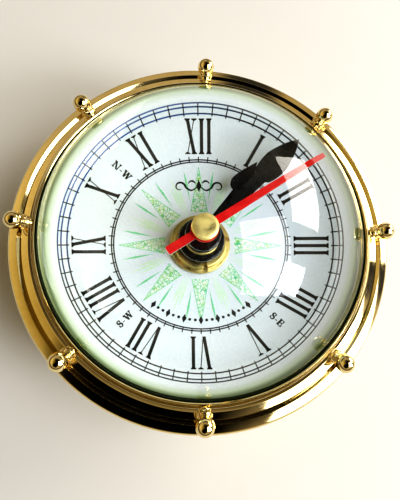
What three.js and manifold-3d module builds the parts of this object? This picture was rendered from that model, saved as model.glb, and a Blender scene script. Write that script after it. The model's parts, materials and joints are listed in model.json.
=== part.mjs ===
// Brass dome clock with a ship's-wheel bezel: a battery quartz clock that lies face up on a desk
// under a solid glass magnifying dome.
//
// Frame: millimetres, +Z up along the hand arbors, origin at the bottom centre on the felt foot,
// and +Y towards the XII of the dial.

import * as THREE from 'three';
import { mergeVertices } from 'three/addons/utils/BufferGeometryUtils.js';
import Module from 'manifold-3d';

const wasm = await Module();
wasm.setup();

// ---------------------------------------------------------------- driving dimensions

const GAP = 0.3;                       // air left between pieces that touch
const FULL_TURN = Math.PI * 2;
const DEGREE = Math.PI / 180;
const RING_SEGMENTS = 48;              // facets of the large turned rings
const SHAFT_SEGMENTS = 16;             // facets of shafts, pipes and bores

const FLANGE_RADIUS = 54;              // overall radius of the clock
const FLANGE_TOP = 34;                 // height of the bezel's outer edge above the desk
const DIAL_DEPTH = 11.5;               // the dial's face lies this far below the flange
const DIAL_TOP = FLANGE_TOP - DIAL_DEPTH;
const DIAL_THICKNESS = 0.8;
const DIAL_RADIUS = 41;                // the plate; its rim is clamped under the bezel
const DIAL_VIEW_RADIUS = 35.6;         // what the bezel leaves visible
const DIAL_UNDERSIDE = DIAL_TOP - DIAL_THICKNESS;

const LIP_TOP = FLANGE_TOP + 3.5;      // crest of the raised lip round the glass
const LIP_INNER_RADIUS = 45.75;
const LIP_OUTER_RADIUS = 46.3;
const LENS_RADIUS = LIP_INNER_RADIUS - GAP;
const LENS_UNDERSIDE = FLANGE_TOP + 1;
const LENS_EDGE_TOP = LIP_TOP - 0.3;
const LENS_RISE = 25.4;                // height of the glass dome above its straight edge
const LENS_LEDGE = LENS_UNDERSIDE - 1;

const HANDLE_COUNT = 8;
const HANDLE_TURN = -1.3 * DEGREE;     // the bezel is pressed on a little clockwise of the dial
const HANDLE_BALL_RADIUS = 2.45;
const HANDLE_SPIGOT_RADIUS = 0.9;      // the thin end that goes into the lip's outer slope
const HANDLE_COLLAR_RADIUS = 1.8;
const HANDLE_WAIST_RADIUS = 1.5;
const HANDLE_RING_RADIUS = 2.05;       // the ring behind the ball
const HANDLE_BALL_CENTRE = new THREE.Vector2(51.1, FLANGE_TOP + 4.3);
const HANDLE_ROOT = new THREE.Vector2(LIP_OUTER_RADIUS + 0.7, FLANGE_TOP + 2.3);

const CASE_RADIUS = 48.4;
const CASE_INNER_RADIUS = 45.8;
const DIAL_SEAT_RADIUS = 38.2;         // the case's inner ledge carries the dial from here out
const BACK_OPENING_RADIUS = 38.6;
const FELT_THICKNESS = 1.2;

const MOVEMENT_SIDE = 56;
const MOVEMENT_CORNER = 5;
const MOVEMENT_TOP = DIAL_UNDERSIDE - 1.3;
const MOVEMENT_BOTTOM = 4.8;
const SHELL_WALL = 1.2;
const SHELL_SPLIT = 13.9;              // height where the two movement shells meet

const BUSH_RADIUS = 4;
const BUSH_BORE = 3.35;
const HOUR_PIPE_RADIUS = 3.2;
const HOUR_PIPE_BORE = 2.5;
const MINUTE_PIPE_RADIUS = 2.35;
const MINUTE_PIPE_BORE = 1.15;
const FRICTION_SLEEVE_RADIUS = 1.05;
const FRICTION_SLEEVE_BORE = 0.8;
const SECOND_ARBOR_RADIUS = 0.7;
const PIVOT_RADIUS = 0.5;
const PIVOT_HOLE_RADIUS = 0.6;
const ARBOR_BOTTOM = MOVEMENT_BOTTOM + SHELL_WALL + GAP;
const HOUR_PIPE_TOP = DIAL_TOP + 4.4;
const MINUTE_PIPE_TOP = DIAL_TOP + 7.2;
const SECOND_ARBOR_TOP = DIAL_TOP + 9.7;

const HOUR_ANGLE = -35.4 * DEGREE;       // hands at rest, turned from XII
const MINUTE_ANGLE = -45 * DEGREE;
const SECOND_ANGLE = -57.5 * DEGREE;

// heights in the movement, from the back to the dial
const STEP_LEVEL = 8.1;                // rotor pinion into the intermediate wheel
const SECOND_LEVEL = 10.1;             // intermediate pinion into the second wheel
const THIRD_LEVEL = 11.9;              // second pinion into the third wheel
const CENTRE_LEVEL = 14.9;             // third pinion into the centre wheel
const MOTION_LEVEL = 16.4;             // cannon and setting pinions into the motion wheel
const HOUR_LEVEL = 17.9;               // motion pinion into the hour wheel
const WHEEL_THICKNESS = 0.9;
const PINION_THICKNESS = 1.4;

// gear train: tooth counts and modules
const STEP_MODULE = 0.25;
const SECOND_MODULE = 0.3;
const THIRD_MODULE = 0.25;
const MOTION_MODULE = 0.32;
const TEETH = {
  rotor: 8,
  intermediate: 48,
  intermediatePinion: 8,
  second: 40,
  secondPinion: 8,
  third: 60,
  thirdPinion: 8,
  centre: 64,
  cannon: 12,
  motion: 36,
  motionPinion: 10,
  hour: 40,
  setting: 12,
};

// ---------------------------------------------------------------- shape helpers

const group = new THREE.Group();

function material(colour, roughness, metalness) {
  return new THREE.MeshStandardMaterial({ color: colour, roughness, metalness });
}

function addPart(name, geometry, look, place = [0, 0, 0], turn = 0) {
  const mesh = new THREE.Mesh(geometry, look.clone());
  mesh.name = name;
  mesh.position.set(...place);
  mesh.rotation.z = turn;
  group.add(mesh);
  return mesh;
}

// a turned piece: the profile is radius and height, on the axis or closed on itself
function turned(profile, segments = RING_SEGMENTS) {
  const points = profile.map(([radius, height]) => new THREE.Vector2(radius, height));
  if (THREE.ShapeUtils.area(points) < 0) points.reverse();
  const closed = Math.min(...points.map((point) => point.x)) > 0;
  if (closed) points.push(points[0].clone());
  return new THREE.LatheGeometry(points, segments).rotateX(Math.PI / 2);
}

function tube(outer, inner, bottom, top, segments = SHAFT_SEGMENTS) {
  return turned([[inner, bottom], [outer, bottom], [outer, top], [inner, top]], segments);
}

function ring(outer, inner, bottom, top) {
  return tube(outer, inner, bottom, top, RING_SEGMENTS);
}

function rod(radius, bottom, top, segments = SHAFT_SEGMENTS) {
  return turned([[0, bottom], [radius, bottom], [radius, top], [0, top]], segments);
}

function plate(shape, bottom, thickness, curveSegments = 12) {
  const options = { depth: thickness, bevelEnabled: false, curveSegments };
  return new THREE.ExtrudeGeometry(shape, options).translate(0, 0, bottom);
}

function block(width, depth, height, x, y, bottom) {
  return new THREE.BoxGeometry(width, depth, height).translate(x, y, bottom + height / 2);
}

function solid(geometry) {
  const bare = new THREE.BufferGeometry();
  bare.setAttribute('position', geometry.getAttribute('position'));
  if (geometry.index) bare.setIndex(geometry.index);
  const merged = mergeVertices(bare, 1e-4);
  const index = merged.index.array;
  const kept = [];
  for (let i = 0; i < index.length; i += 3) {
    const [a, b, c] = [index[i], index[i + 1], index[i + 2]];
    if (a !== b && b !== c && c !== a) kept.push(a, b, c);
  }
  const vertProperties = new Float32Array(merged.getAttribute('position').array);
  const mesh = new wasm.Mesh({ numProp: 3, vertProperties, triVerts: new Uint32Array(kept) });
  return new wasm.Manifold(mesh);
}

function surface(body) {
  const mesh = body.getMesh();
  const geometry = new THREE.BufferGeometry();
  geometry.setAttribute('position', new THREE.BufferAttribute(mesh.vertProperties, 3));
  geometry.setIndex(new THREE.BufferAttribute(mesh.triVerts, 1));
  geometry.computeVertexNormals();
  return geometry;
}

function joined(...geometries) {
  return surface(geometries.map(solid).reduce((whole, next) => whole.add(next)));
}

function cut(geometry, ...tools) {
  return surface(tools.map(solid).reduce((whole, tool) => whole.subtract(tool), solid(geometry)));
}

function roundedSquare(side, corner) {
  const half = side / 2;
  const inner = half - corner;
  const shape = new THREE.Shape();
  shape.moveTo(half, -inner);
  shape.lineTo(half, inner);
  shape.absarc(inner, inner, corner, 0, Math.PI / 2, false);
  shape.lineTo(-inner, half);
  shape.absarc(-inner, inner, corner, Math.PI / 2, Math.PI, false);
  shape.lineTo(-half, -inner);
  shape.absarc(-inner, -inner, corner, Math.PI, Math.PI * 1.5, false);
  shape.lineTo(inner, -half);
  shape.absarc(inner, -inner, corner, Math.PI * 1.5, FULL_TURN, false);
  return shape;
}

// ---------------------------------------------------------------- gears

function polar(radius, angle) {
  return new THREE.Vector2(radius * Math.cos(angle), radius * Math.sin(angle));
}

// slender straight-flanked teeth, with the first tooth centred on the angle phase
function gear(teeth, module, phase, level, thickness) {
  const pitch = FULL_TURN / teeth;
  const root = module * (teeth / 2 - 1.2);
  const tip = module * (teeth / 2 + 0.85);
  const rootHalf = 0.2 * pitch;
  const tipHalf = 0.075 * pitch;
  const points = [];
  for (let tooth = 0; tooth < teeth; tooth += 1) {
    const centre = phase + tooth * pitch;
    points.push(polar(root, centre - rootHalf));
    points.push(polar(tip, centre - tipHalf));
    points.push(polar(tip, centre + tipHalf));
    points.push(polar(root, centre + rootHalf));
  }
  return plate(new THREE.Shape(points), level - thickness / 2, thickness);
}

// the follower's first tooth, so that a gap of it faces a tooth of the driver on their centre line
function meshedPhase(driverTeeth, driverPhase, followerTeeth, direction) {
  const lead = driverPhase - direction;
  const ratio = driverTeeth / followerTeeth;
  return direction + Math.PI - lead * ratio + Math.PI / followerTeeth;
}

function spacing(driverTeeth, followerTeeth, module) {
  return ((driverTeeth + followerTeeth) * module) / 2;
}

function moduleFor(distance, driverTeeth, followerTeeth) {
  return (2 * distance) / (driverTeeth + followerTeeth);
}

const stepDistance = spacing(TEETH.rotor, TEETH.intermediate, STEP_MODULE);
const secondDistance = spacing(TEETH.intermediatePinion, TEETH.second, SECOND_MODULE);
const thirdDistance = spacing(TEETH.secondPinion, TEETH.third, THIRD_MODULE);
const centreModule = moduleFor(thirdDistance, TEETH.thirdPinion, TEETH.centre);
const motionDistance = spacing(TEETH.cannon, TEETH.motion, MOTION_MODULE);
const hourModule = moduleFor(motionDistance, TEETH.motionPinion, TEETH.hour);
const settingDistance = spacing(TEETH.setting, TEETH.motion, MOTION_MODULE);

const intermediateDirection = Math.PI;
const rotorDirection = 150 * DEGREE;
const thirdDirection = 90 * DEGREE;
const motionDirection = 0;
const settingDirection = 0;

const intermediateAxis = polar(secondDistance, intermediateDirection);
const rotorAxis = polar(stepDistance, rotorDirection).add(intermediateAxis);
const thirdAxis = polar(thirdDistance, thirdDirection);
const motionAxis = polar(motionDistance, motionDirection);
const settingAxis = polar(settingDistance, settingDirection).add(motionAxis);

// ---------------------------------------------------------------- looks

const polishedBrass = material(0xc9a24a, 0.18, 1);
const turnedBrass = material(0xb8924a, 0.3, 1);
const clearGlass = new THREE.MeshStandardMaterial({
  color: 0xdff0e6, roughness: 0.02, metalness: 0, transparent: true, opacity: 0.35,
});
const dialWhite = material(0xf3f5f0, 0.55, 0);
const blackLacquer = material(0x0b0b0b, 0.35, 0.2);
const redLacquer = material(0xd0100c, 0.4, 0);
const blackPlastic = material(0x17181a, 0.5, 0);
const whitePlastic = material(0xe9e6dc, 0.5, 0);
const ferrite = material(0x2a2a2c, 0.6, 0);
const blackRubber = material(0x1b1b1b, 0.9, 0);
const greenFelt = material(0x1f4a33, 1, 0);
const steel = material(0xb9bcc0, 0.35, 1);
const copper = material(0xb5622e, 0.4, 1);
const circuitGreen = material(0x1f6b3c, 0.6, 0);
const batteryWrap = material(0x2a3550, 0.4, 0.3);

// ---------------------------------------------------------------- case and bezel

function bezelRing() {
  return turned([
    [DIAL_VIEW_RADIUS, DIAL_TOP + GAP],
    [CASE_INNER_RADIUS - GAP, DIAL_TOP + GAP],
    [CASE_INNER_RADIUS - GAP, FLANGE_TOP - 3.5],
    [CASE_RADIUS, FLANGE_TOP - 3.5],
    [CASE_RADIUS + 2.5, FLANGE_TOP - 2.8],
    [FLANGE_RADIUS - 0.7, FLANGE_TOP - 2.3],
    [FLANGE_RADIUS, FLANGE_TOP - 1.7],
    [FLANGE_RADIUS, FLANGE_TOP - 0.9],
    [FLANGE_RADIUS - 0.5, FLANGE_TOP - 0.4],
    [51.4, FLANGE_TOP + 0.1],
    [50.35, FLANGE_TOP - 0.75],
    [50.15, FLANGE_TOP + 0.1],
    [48.3, FLANGE_TOP + 0.5],
    [LIP_OUTER_RADIUS + 1, FLANGE_TOP + 1.2],
    [LIP_OUTER_RADIUS + 0.4, FLANGE_TOP + 2.3],
    [LIP_OUTER_RADIUS, LIP_TOP - 0.15],
    [LIP_OUTER_RADIUS - 0.2, LIP_TOP],
    [LIP_INNER_RADIUS, LIP_TOP - 0.2],
    [LIP_INNER_RADIUS, LENS_LEDGE],
    [LIP_INNER_RADIUS - 3, LENS_LEDGE],
  ]);
}

// a spigot, a collar, a waist, a ring and a ball, by distance along the handle's axis
function handleProfile(length) {
  const profile = [
    [0, 0],
    [HANDLE_SPIGOT_RADIUS, 0],
    [HANDLE_SPIGOT_RADIUS, 0.45],
    [HANDLE_COLLAR_RADIUS, 0.5],
    [HANDLE_COLLAR_RADIUS, 0.85],
    [HANDLE_WAIST_RADIUS, 1.25],
    [HANDLE_RING_RADIUS, 1.8],
    [HANDLE_RING_RADIUS, 2.3],
    [HANDLE_WAIST_RADIUS, 2.5],
  ];
  const ballStart = Math.asin(HANDLE_WAIST_RADIUS / HANDLE_BALL_RADIUS);
  const steps = 5;
  for (let i = 0; i < steps; i += 1) {
    const angle = ballStart + ((Math.PI - ballStart) * i) / steps;
    profile.push([
      HANDLE_BALL_RADIUS * Math.sin(angle),
      length - HANDLE_BALL_RADIUS * Math.cos(angle),
    ]);
  }
  profile.push([0, length + HANDLE_BALL_RADIUS]);
  return profile;
}

function handle() {
  const rise = HANDLE_BALL_CENTRE.y - HANDLE_ROOT.y;
  const run = HANDLE_BALL_CENTRE.x - HANDLE_ROOT.x;
  const tilt = Math.atan2(rise, run);
  const grip = turned(handleProfile(Math.hypot(rise, run)), 10);
  grip.rotateY(Math.PI / 2 - tilt).translate(HANDLE_ROOT.x, 0, HANDLE_ROOT.y);
  return grip;
}

function handleAngle(index) {
  return Math.PI / 2 + HANDLE_TURN - (index * FULL_TURN) / HANDLE_COUNT;
}

for (let i = 0; i < HANDLE_COUNT; i += 1) {
  addPart(`handle_${i + 1}`, handle(), polishedBrass, [0, 0, 0], handleAngle(i));
}

function lens() {
  const edge = LENS_RADIUS;
  const sphere = (edge * edge + LENS_RISE * LENS_RISE) / (2 * LENS_RISE);
  const centre = LENS_EDGE_TOP + LENS_RISE - sphere;
  const spread = Math.asin(edge / sphere);
  const steps = 9;
  const profile = [[0, LENS_UNDERSIDE], [edge - 0.4, LENS_UNDERSIDE], [edge, LENS_UNDERSIDE + 0.4]];
  for (let i = 0; i < steps; i += 1) {
    const angle = spread * (1 - i / steps);
    profile.push([sphere * Math.sin(angle), centre + sphere * Math.cos(angle)]);
  }
  profile.push([0, LENS_EDGE_TOP + LENS_RISE]);
  return turned(profile);
}

function caseBody() {
  const bottom = FELT_THICKNESS + GAP;
  const seat = DIAL_UNDERSIDE - GAP;
  return turned([
    [BACK_OPENING_RADIUS, bottom],
    [CASE_RADIUS + 1.4, bottom],
    [CASE_RADIUS + 2, bottom + 1],
    [CASE_RADIUS + 2, bottom + 2.4],
    [CASE_RADIUS + 1.2, bottom + 3.4],
    [CASE_RADIUS, bottom + 4.4],
    [CASE_RADIUS, FLANGE_TOP - 3.5 - GAP],
    [CASE_INNER_RADIUS, FLANGE_TOP - 3.5 - GAP],
    [CASE_INNER_RADIUS, seat],
    [DIAL_SEAT_RADIUS, seat],
    [DIAL_SEAT_RADIUS, seat - 2],
    [CASE_INNER_RADIUS, seat - 2],
    [CASE_INNER_RADIUS, bottom + 2],
    [BACK_OPENING_RADIUS, bottom + 2],
  ]);
}

addPart('bezel_ring', bezelRing(), polishedBrass);
addPart('case_body', caseBody(), turnedBrass);
addPart('glass_dome', lens(), clearGlass);
addPart('glass_seal', ring(LENS_RADIUS, LENS_RADIUS - 2.4, LENS_LEDGE + GAP, LENS_UNDERSIDE - GAP),
  blackRubber);
addPart('felt_foot', ring(CASE_RADIUS + 1, BACK_OPENING_RADIUS + 1, 0, FELT_THICKNESS), greenFelt);
addPart('dial_plate', ring(DIAL_RADIUS, BUSH_RADIUS + GAP, DIAL_UNDERSIDE, DIAL_TOP), dialWhite);

// ---------------------------------------------------------------- fixing of the dial

const FLANGE_OF_BUSH = 5.2;
addPart('threaded_bush', turned([
  [BUSH_BORE, MOVEMENT_TOP - 1.6],
  [BUSH_RADIUS, MOVEMENT_TOP - 1.6],
  [BUSH_RADIUS, MOVEMENT_TOP + GAP],
  [FLANGE_OF_BUSH, MOVEMENT_TOP + GAP],
  [FLANGE_OF_BUSH, DIAL_UNDERSIDE - 0.4],
  [BUSH_RADIUS, DIAL_UNDERSIDE - 0.4],
  [BUSH_RADIUS, DIAL_TOP + 2.1],
  [BUSH_BORE, DIAL_TOP + 2.1],
], SHAFT_SEGMENTS), turnedBrass);
addPart('rubber_washer',
  tube(9.5, FLANGE_OF_BUSH + GAP, MOVEMENT_TOP + GAP, DIAL_UNDERSIDE - GAP), blackRubber);

function dialNut() {
  const bottom = DIAL_TOP + GAP;
  const nut = turned([
    [BUSH_RADIUS + GAP, bottom],
    [6.8, bottom],
    [6.8, bottom + 0.5],
    [6.2, bottom + 0.8],
    [6, bottom + 1.5],
    [BUSH_RADIUS + GAP, bottom + 1.5],
  ], SHAFT_SEGMENTS);
  const slots = [0, 1, 2, 3].map((i) => {
    const turn = i * Math.PI / 2 + 10 * DEGREE;
    return block(2.4, 0.9, 1.4, 6, 0, bottom + 0.6).rotateZ(turn);
  });
  return cut(nut, ...slots);
}
addPart('dial_nut', dialNut(), turnedBrass);

// ---------------------------------------------------------------- movement shells and plate

const inside = MOVEMENT_SIDE / 2 - SHELL_WALL;
const BATTERY = { radius: 7.1, y: -19, z: 11.8, from: -24.9, to: 24.1 };
const PARTITION_Y = -10.8;
const PLATE_BOTTOM = 13;
const PLATE_THICKNESS = 0.9;
const PLATE_POSTS = [[11, 9.6], [11, -8.4], [-6, -8.6], [-7.4, 15]];
const CIRCUIT = { x: 15.5, y: 19, width: 20, depth: 12.6, bottom: 7.9, thickness: 0.8 };

function boss(axis, outer, bore, bottom, top) {
  return tube(outer, bore, bottom, top, 8).translate(axis.x, axis.y, 0);
}

function post(x, y, radius, bottom, top) {
  return rod(radius, bottom, top, 8).translate(x, y, 0);
}

function movementBack() {
  const floorTop = MOVEMENT_BOTTOM + SHELL_WALL;
  const outline = roundedSquare(MOVEMENT_SIDE, MOVEMENT_CORNER);
  const shell = plate(outline, MOVEMENT_BOTTOM, SHELL_SPLIT - MOVEMENT_BOTTOM, 4);
  const hollow = plate(roundedSquare(inside * 2, MOVEMENT_CORNER - SHELL_WALL), floorTop, 20, 4);
  const bay = block(inside * 2 - 1.6, 15, 6, 0, BATTERY.y + 0.2, MOVEMENT_BOTTOM - 2);
  const settingHole = rod(1.2, MOVEMENT_BOTTOM - 1, floorTop + 1, 12);
  settingHole.translate(settingAxis.x, settingAxis.y, 0);
  const open = cut(shell, hollow, bay, settingHole);
  const partition = block(inside * 2 + 0.4, 1, SHELL_SPLIT - floorTop + 0.4, 0, PARTITION_Y,
    floorTop - 0.4);
  const pivots = [new THREE.Vector2(), intermediateAxis, rotorAxis, thirdAxis];
  const bosses = pivots.map((axis) => boss(axis, 1.5, PIVOT_HOLE_RADIUS, floorTop - 0.2, 6.9));
  const posts = PLATE_POSTS.map(([x, y]) => post(x, y, 1.3, floorTop - 0.2, PLATE_BOTTOM - GAP));
  const rests = [[-8.5, -4.5], [8.5, -4.5], [8.5, 4.5]].map(([x, y]) => {
    return post(CIRCUIT.x + x, CIRCUIT.y + y, 1, floorTop - 0.2, CIRCUIT.bottom - GAP);
  });
  return joined(open, partition, ...bosses, ...posts, ...rests);
}

function movementFront() {
  const bottom = SHELL_SPLIT + GAP;
  const ceiling = MOVEMENT_TOP - SHELL_WALL;
  const outline = roundedSquare(MOVEMENT_SIDE, MOVEMENT_CORNER);
  const shell = plate(outline, bottom, MOVEMENT_TOP - bottom, 4);
  const hollow = plate(roundedSquare(inside * 2, MOVEMENT_CORNER - SHELL_WALL), bottom - 5,
    ceiling - bottom + 5, 4);
  const bushHole = rod(BUSH_RADIUS + GAP, ceiling - 1, MOVEMENT_TOP + 1);
  const open = cut(shell, hollow, bushHole);
  const partition = block(inside * 2 + 0.4, 1, ceiling - bottom + 0.2, 0, PARTITION_Y, bottom);
  const thirdBoss = boss(thirdAxis, 1.4, PIVOT_HOLE_RADIUS, 16.2, ceiling + 0.2);
  const settingBoss = boss(settingAxis, 1.9, 1.1, 17.5, ceiling + 0.2);
  const motionPost = post(motionAxis.x, motionAxis.y, 0.6, 15.6, ceiling + 0.2);
  return joined(open, partition, thirdBoss, settingBoss, motionPost);
}

function middlePlate() {
  const shape = new THREE.Shape();
  const [left, right, low, high] = [-16.6, 12.8, -9.9, 16.6];
  shape.moveTo(left, low);
  shape.lineTo(right, low);
  shape.lineTo(right, high);
  shape.lineTo(left, high);
  const holes = [
    [new THREE.Vector2(), SECOND_ARBOR_RADIUS + 0.15],
    [intermediateAxis, PIVOT_HOLE_RADIUS],
    [rotorAxis, PIVOT_HOLE_RADIUS],
    [thirdAxis, 1.5],
  ];
  for (const [axis, radius] of holes) {
    shape.holes.push(new THREE.Path().absarc(axis.x, axis.y, radius, 0, FULL_TURN, true));
  }
  return plate(shape, PLATE_BOTTOM, PLATE_THICKNESS, 8);
}

addPart('movement_back', movementBack(), blackPlastic);
addPart('movement_front', movementFront(), blackPlastic);
addPart('middle_plate', middlePlate(), whitePlastic);

// ---------------------------------------------------------------- battery and electrics

function batteryCell() {
  const { radius, from, to } = BATTERY;
  const cell = turned([
    [0, from], [radius - 0.4, from], [radius, from + 0.4], [radius, to - 0.4], [radius - 0.4, to],
    [2.7, to], [2.7, to + 1], [0, to + 1],
  ], 20);
  return cell.rotateY(Math.PI / 2).translate(0, BATTERY.y, BATTERY.z);
}

// a flat spring plate at the end of the battery, with a solder tab towards the circuit
function batteryContact(x) {
  const pad = block(0.4, 8, 9, x, BATTERY.y, 7.5);
  const tab = block(0.4, 4, 2.5, x, BATTERY.y + 5, 14);
  return joined(pad, tab);
}

const CORE = { x: -21.1, width: 2.2, bottom: 9.5, thickness: 1, from: -8.8, to: 15.8 };
const BOBBIN = { from: -4.8, to: 11.8, side: 6.8, flange: 0.8 };
const STATOR_BOTTOM = CORE.bottom + CORE.thickness + GAP;

function coilCore() {
  const middle = (CORE.from + CORE.to) / 2;
  return block(CORE.width, CORE.to - CORE.from, CORE.thickness, CORE.x, middle, CORE.bottom);
}

function coilSleeve(width, height, from, to) {
  const middle = CORE.bottom + CORE.thickness / 2;
  return block(width, to - from, height, CORE.x, (from + to) / 2, middle - height / 2);
}

function coilBobbin() {
  const { from, to, side, flange } = BOBBIN;
  const barrel = coilSleeve(4.2, 3, from, to);
  const body = joined(barrel, coilSleeve(side, side, from, from + flange),
    coilSleeve(side, side, to - flange, to));
  return cut(body, coilSleeve(CORE.width + 2 * GAP, CORE.thickness + 2 * GAP, from - 1, to + 1));
}

function coilWinding() {
  const from = BOBBIN.from + BOBBIN.flange + GAP;
  const to = BOBBIN.to - BOBBIN.flange - GAP;
  const barrel = new THREE.CylinderGeometry(3.2, 3.2, to - from, 20);
  barrel.translate(CORE.x, (from + to) / 2, CORE.bottom + CORE.thickness / 2);
  return cut(barrel, coilSleeve(4.2 + 2 * GAP, 3 + 2 * GAP, from - 1, to + 1));
}

function stator() {
  const outline = [
    [-23, 16.4], [-23, 13.2], [-17, 13.2], [-17, -6.2], [-23, -6.2], [-23, -9.5],
    [-11.5, -9.5], [-9.4, -6], [-9.4, 12], [-12, 16.4],
  ];
  const shape = new THREE.Shape(outline.map(([x, y]) => new THREE.Vector2(x, y)));
  shape.holes.push(new THREE.Path().absarc(rotorAxis.x, rotorAxis.y, 3.2, 0, FULL_TURN, true));
  return plate(shape, STATOR_BOTTOM, 1, 12);
}

function circuitBoard() {
  const { x, y, width, depth, bottom, thickness } = CIRCUIT;
  const board = block(width, depth, thickness, x, y, bottom);
  const top = bottom + thickness;
  const chip = turned([[0, top - 0.2], [2.4, top - 0.2], [1.9, top + 0.6], [0, top + 0.9]], 16);
  return joined(board, chip.translate(x - 4, y + 2, 0));
}

function quartzCrystal() {
  const can = new THREE.CylinderGeometry(1, 1, 6, 16);
  can.rotateZ(Math.PI / 2);
  return can.translate(CIRCUIT.x + 4, CIRCUIT.y - 3, CIRCUIT.bottom + CIRCUIT.thickness + GAP + 1);
}

addPart('battery', batteryCell(), batteryWrap);
addPart('battery_contact_positive', batteryContact(25.8), steel);
addPart('battery_contact_negative', batteryContact(-25.8), steel);
addPart('coil_core', coilCore(), steel);
addPart('coil_bobbin', coilBobbin(), whitePlastic);
addPart('coil_winding', coilWinding(), copper);
addPart('stator', stator(), steel);
addPart('circuit_board', circuitBoard(), circuitGreen);
addPart('quartz_crystal', quartzCrystal(), steel);

// ---------------------------------------------------------------- going train

const secondPhase = 0;
const centrePhase = 0;
const cannonPhase = 0;
const intermediatePhase = meshedPhase(TEETH.second, secondPhase, TEETH.intermediatePinion,
  intermediateDirection);
const rotorPhase = meshedPhase(TEETH.intermediate, 0, TEETH.rotor, rotorDirection);
const thirdPhase = meshedPhase(TEETH.secondPinion, secondPhase, TEETH.third, thirdDirection);
const thirdPinionPhase = meshedPhase(TEETH.centre, centrePhase, TEETH.thirdPinion, thirdDirection);
const motionPhase = meshedPhase(TEETH.cannon, cannonPhase, TEETH.motion, motionDirection);
const settingPhase = meshedPhase(TEETH.motion, motionPhase, TEETH.setting, settingDirection);
const hourPhase = meshedPhase(TEETH.motionPinion, 0, TEETH.hour, motionDirection + Math.PI);

function wheelAndPinion(wheel, wheelModule, wheelPhase, wheelLevel, pinion, pinionModule,
  pinionPhase, pinionLevel) {
  return [
    gear(wheel, wheelModule, wheelPhase, wheelLevel, WHEEL_THICKNESS),
    gear(pinion, pinionModule, pinionPhase, pinionLevel, PINION_THICKNESS),
  ];
}

function rotor() {
  const plateTop = PLATE_BOTTOM + PLATE_THICKNESS;
  return joined(
    gear(TEETH.rotor, STEP_MODULE, rotorPhase, STEP_LEVEL, PINION_THICKNESS),
    rod(PIVOT_RADIUS, ARBOR_BOTTOM, plateTop - 0.2, 12),
    rod(2.7, STATOR_BOTTOM - 0.8, STATOR_BOTTOM + 1.6, 20),
  );
}

function intermediateWheel() {
  const gears = wheelAndPinion(TEETH.intermediate, STEP_MODULE, 0, STEP_LEVEL,
    TEETH.intermediatePinion, SECOND_MODULE, intermediatePhase, SECOND_LEVEL);
  const arbor = rod(PIVOT_RADIUS, ARBOR_BOTTOM, PLATE_BOTTOM + PLATE_THICKNESS - 0.2, 12);
  return joined(...gears, arbor);
}

function secondWheel() {
  const gears = wheelAndPinion(TEETH.second, SECOND_MODULE, secondPhase, SECOND_LEVEL,
    TEETH.secondPinion, THIRD_MODULE, secondPhase, THIRD_LEVEL);
  const pivot = rod(PIVOT_RADIUS, ARBOR_BOTTOM, THIRD_LEVEL, 12);
  return joined(...gears, pivot, rod(SECOND_ARBOR_RADIUS, THIRD_LEVEL, SECOND_ARBOR_TOP, 16));
}

function thirdWheel() {
  const gears = wheelAndPinion(TEETH.third, THIRD_MODULE, thirdPhase, THIRD_LEVEL,
    TEETH.thirdPinion, centreModule, thirdPinionPhase, CENTRE_LEVEL);
  return joined(...gears, rod(PIVOT_RADIUS, ARBOR_BOTTOM, 17.8, 12));
}

function centreWheel() {
  const wheel = gear(TEETH.centre, centreModule, centrePhase, CENTRE_LEVEL, WHEEL_THICKNESS);
  const sleeve = rod(FRICTION_SLEEVE_RADIUS, CENTRE_LEVEL - 0.6, 17.2);
  return cut(joined(wheel, sleeve), rod(FRICTION_SLEEVE_BORE, 10, 20));
}

function cannonPinion() {
  const shoulder = MOTION_LEVEL + PINION_THICKNESS / 2;
  const body = joined(
    gear(TEETH.cannon, MOTION_MODULE, cannonPhase, MOTION_LEVEL, PINION_THICKNESS),
    rod(MINUTE_PIPE_RADIUS, shoulder - 0.05, MINUTE_PIPE_TOP),
  );
  return cut(body, rod(MINUTE_PIPE_BORE, 10, MINUTE_PIPE_TOP + 1));
}

function motionWheel() {
  const gears = wheelAndPinion(TEETH.motion, MOTION_MODULE, motionPhase, MOTION_LEVEL,
    TEETH.motionPinion, hourModule, 0, HOUR_LEVEL);
  return cut(joined(...gears, rod(1, MOTION_LEVEL, HOUR_LEVEL, 12)), rod(0.75, 10, 22, 12));
}

function hourWheel() {
  const wheel = gear(TEETH.hour, hourModule, hourPhase, HOUR_LEVEL, WHEEL_THICKNESS);
  const pipe = rod(HOUR_PIPE_RADIUS, HOUR_LEVEL - WHEEL_THICKNESS / 2, HOUR_PIPE_TOP);
  return cut(joined(wheel, pipe), rod(HOUR_PIPE_BORE, 10, HOUR_PIPE_TOP + 1));
}

function settingKnob() {
  const grip = gear(12, 0.65, 0, 3.4, 1.8);
  const arbor = rod(0.9, 3.4, 18.8, 12);
  return joined(grip, arbor,
    gear(TEETH.setting, MOTION_MODULE, settingPhase, MOTION_LEVEL, PINION_THICKNESS));
}

addPart('rotor', rotor(), ferrite, [rotorAxis.x, rotorAxis.y, 0]);
addPart('intermediate_wheel', intermediateWheel(), whitePlastic,
  [intermediateAxis.x, intermediateAxis.y, 0]);
addPart('second_wheel', secondWheel(), whitePlastic);
addPart('third_wheel', thirdWheel(), whitePlastic, [thirdAxis.x, thirdAxis.y, 0]);
addPart('centre_wheel', centreWheel(), whitePlastic);
addPart('cannon_pinion', cannonPinion(), turnedBrass);
addPart('motion_wheel', motionWheel(), whitePlastic, [motionAxis.x, motionAxis.y, 0]);
addPart('hour_wheel', hourWheel(), turnedBrass);
addPart('setting_knob', settingKnob(), blackPlastic, [settingAxis.x, settingAxis.y, 0]);

// ---------------------------------------------------------------- hands

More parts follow.
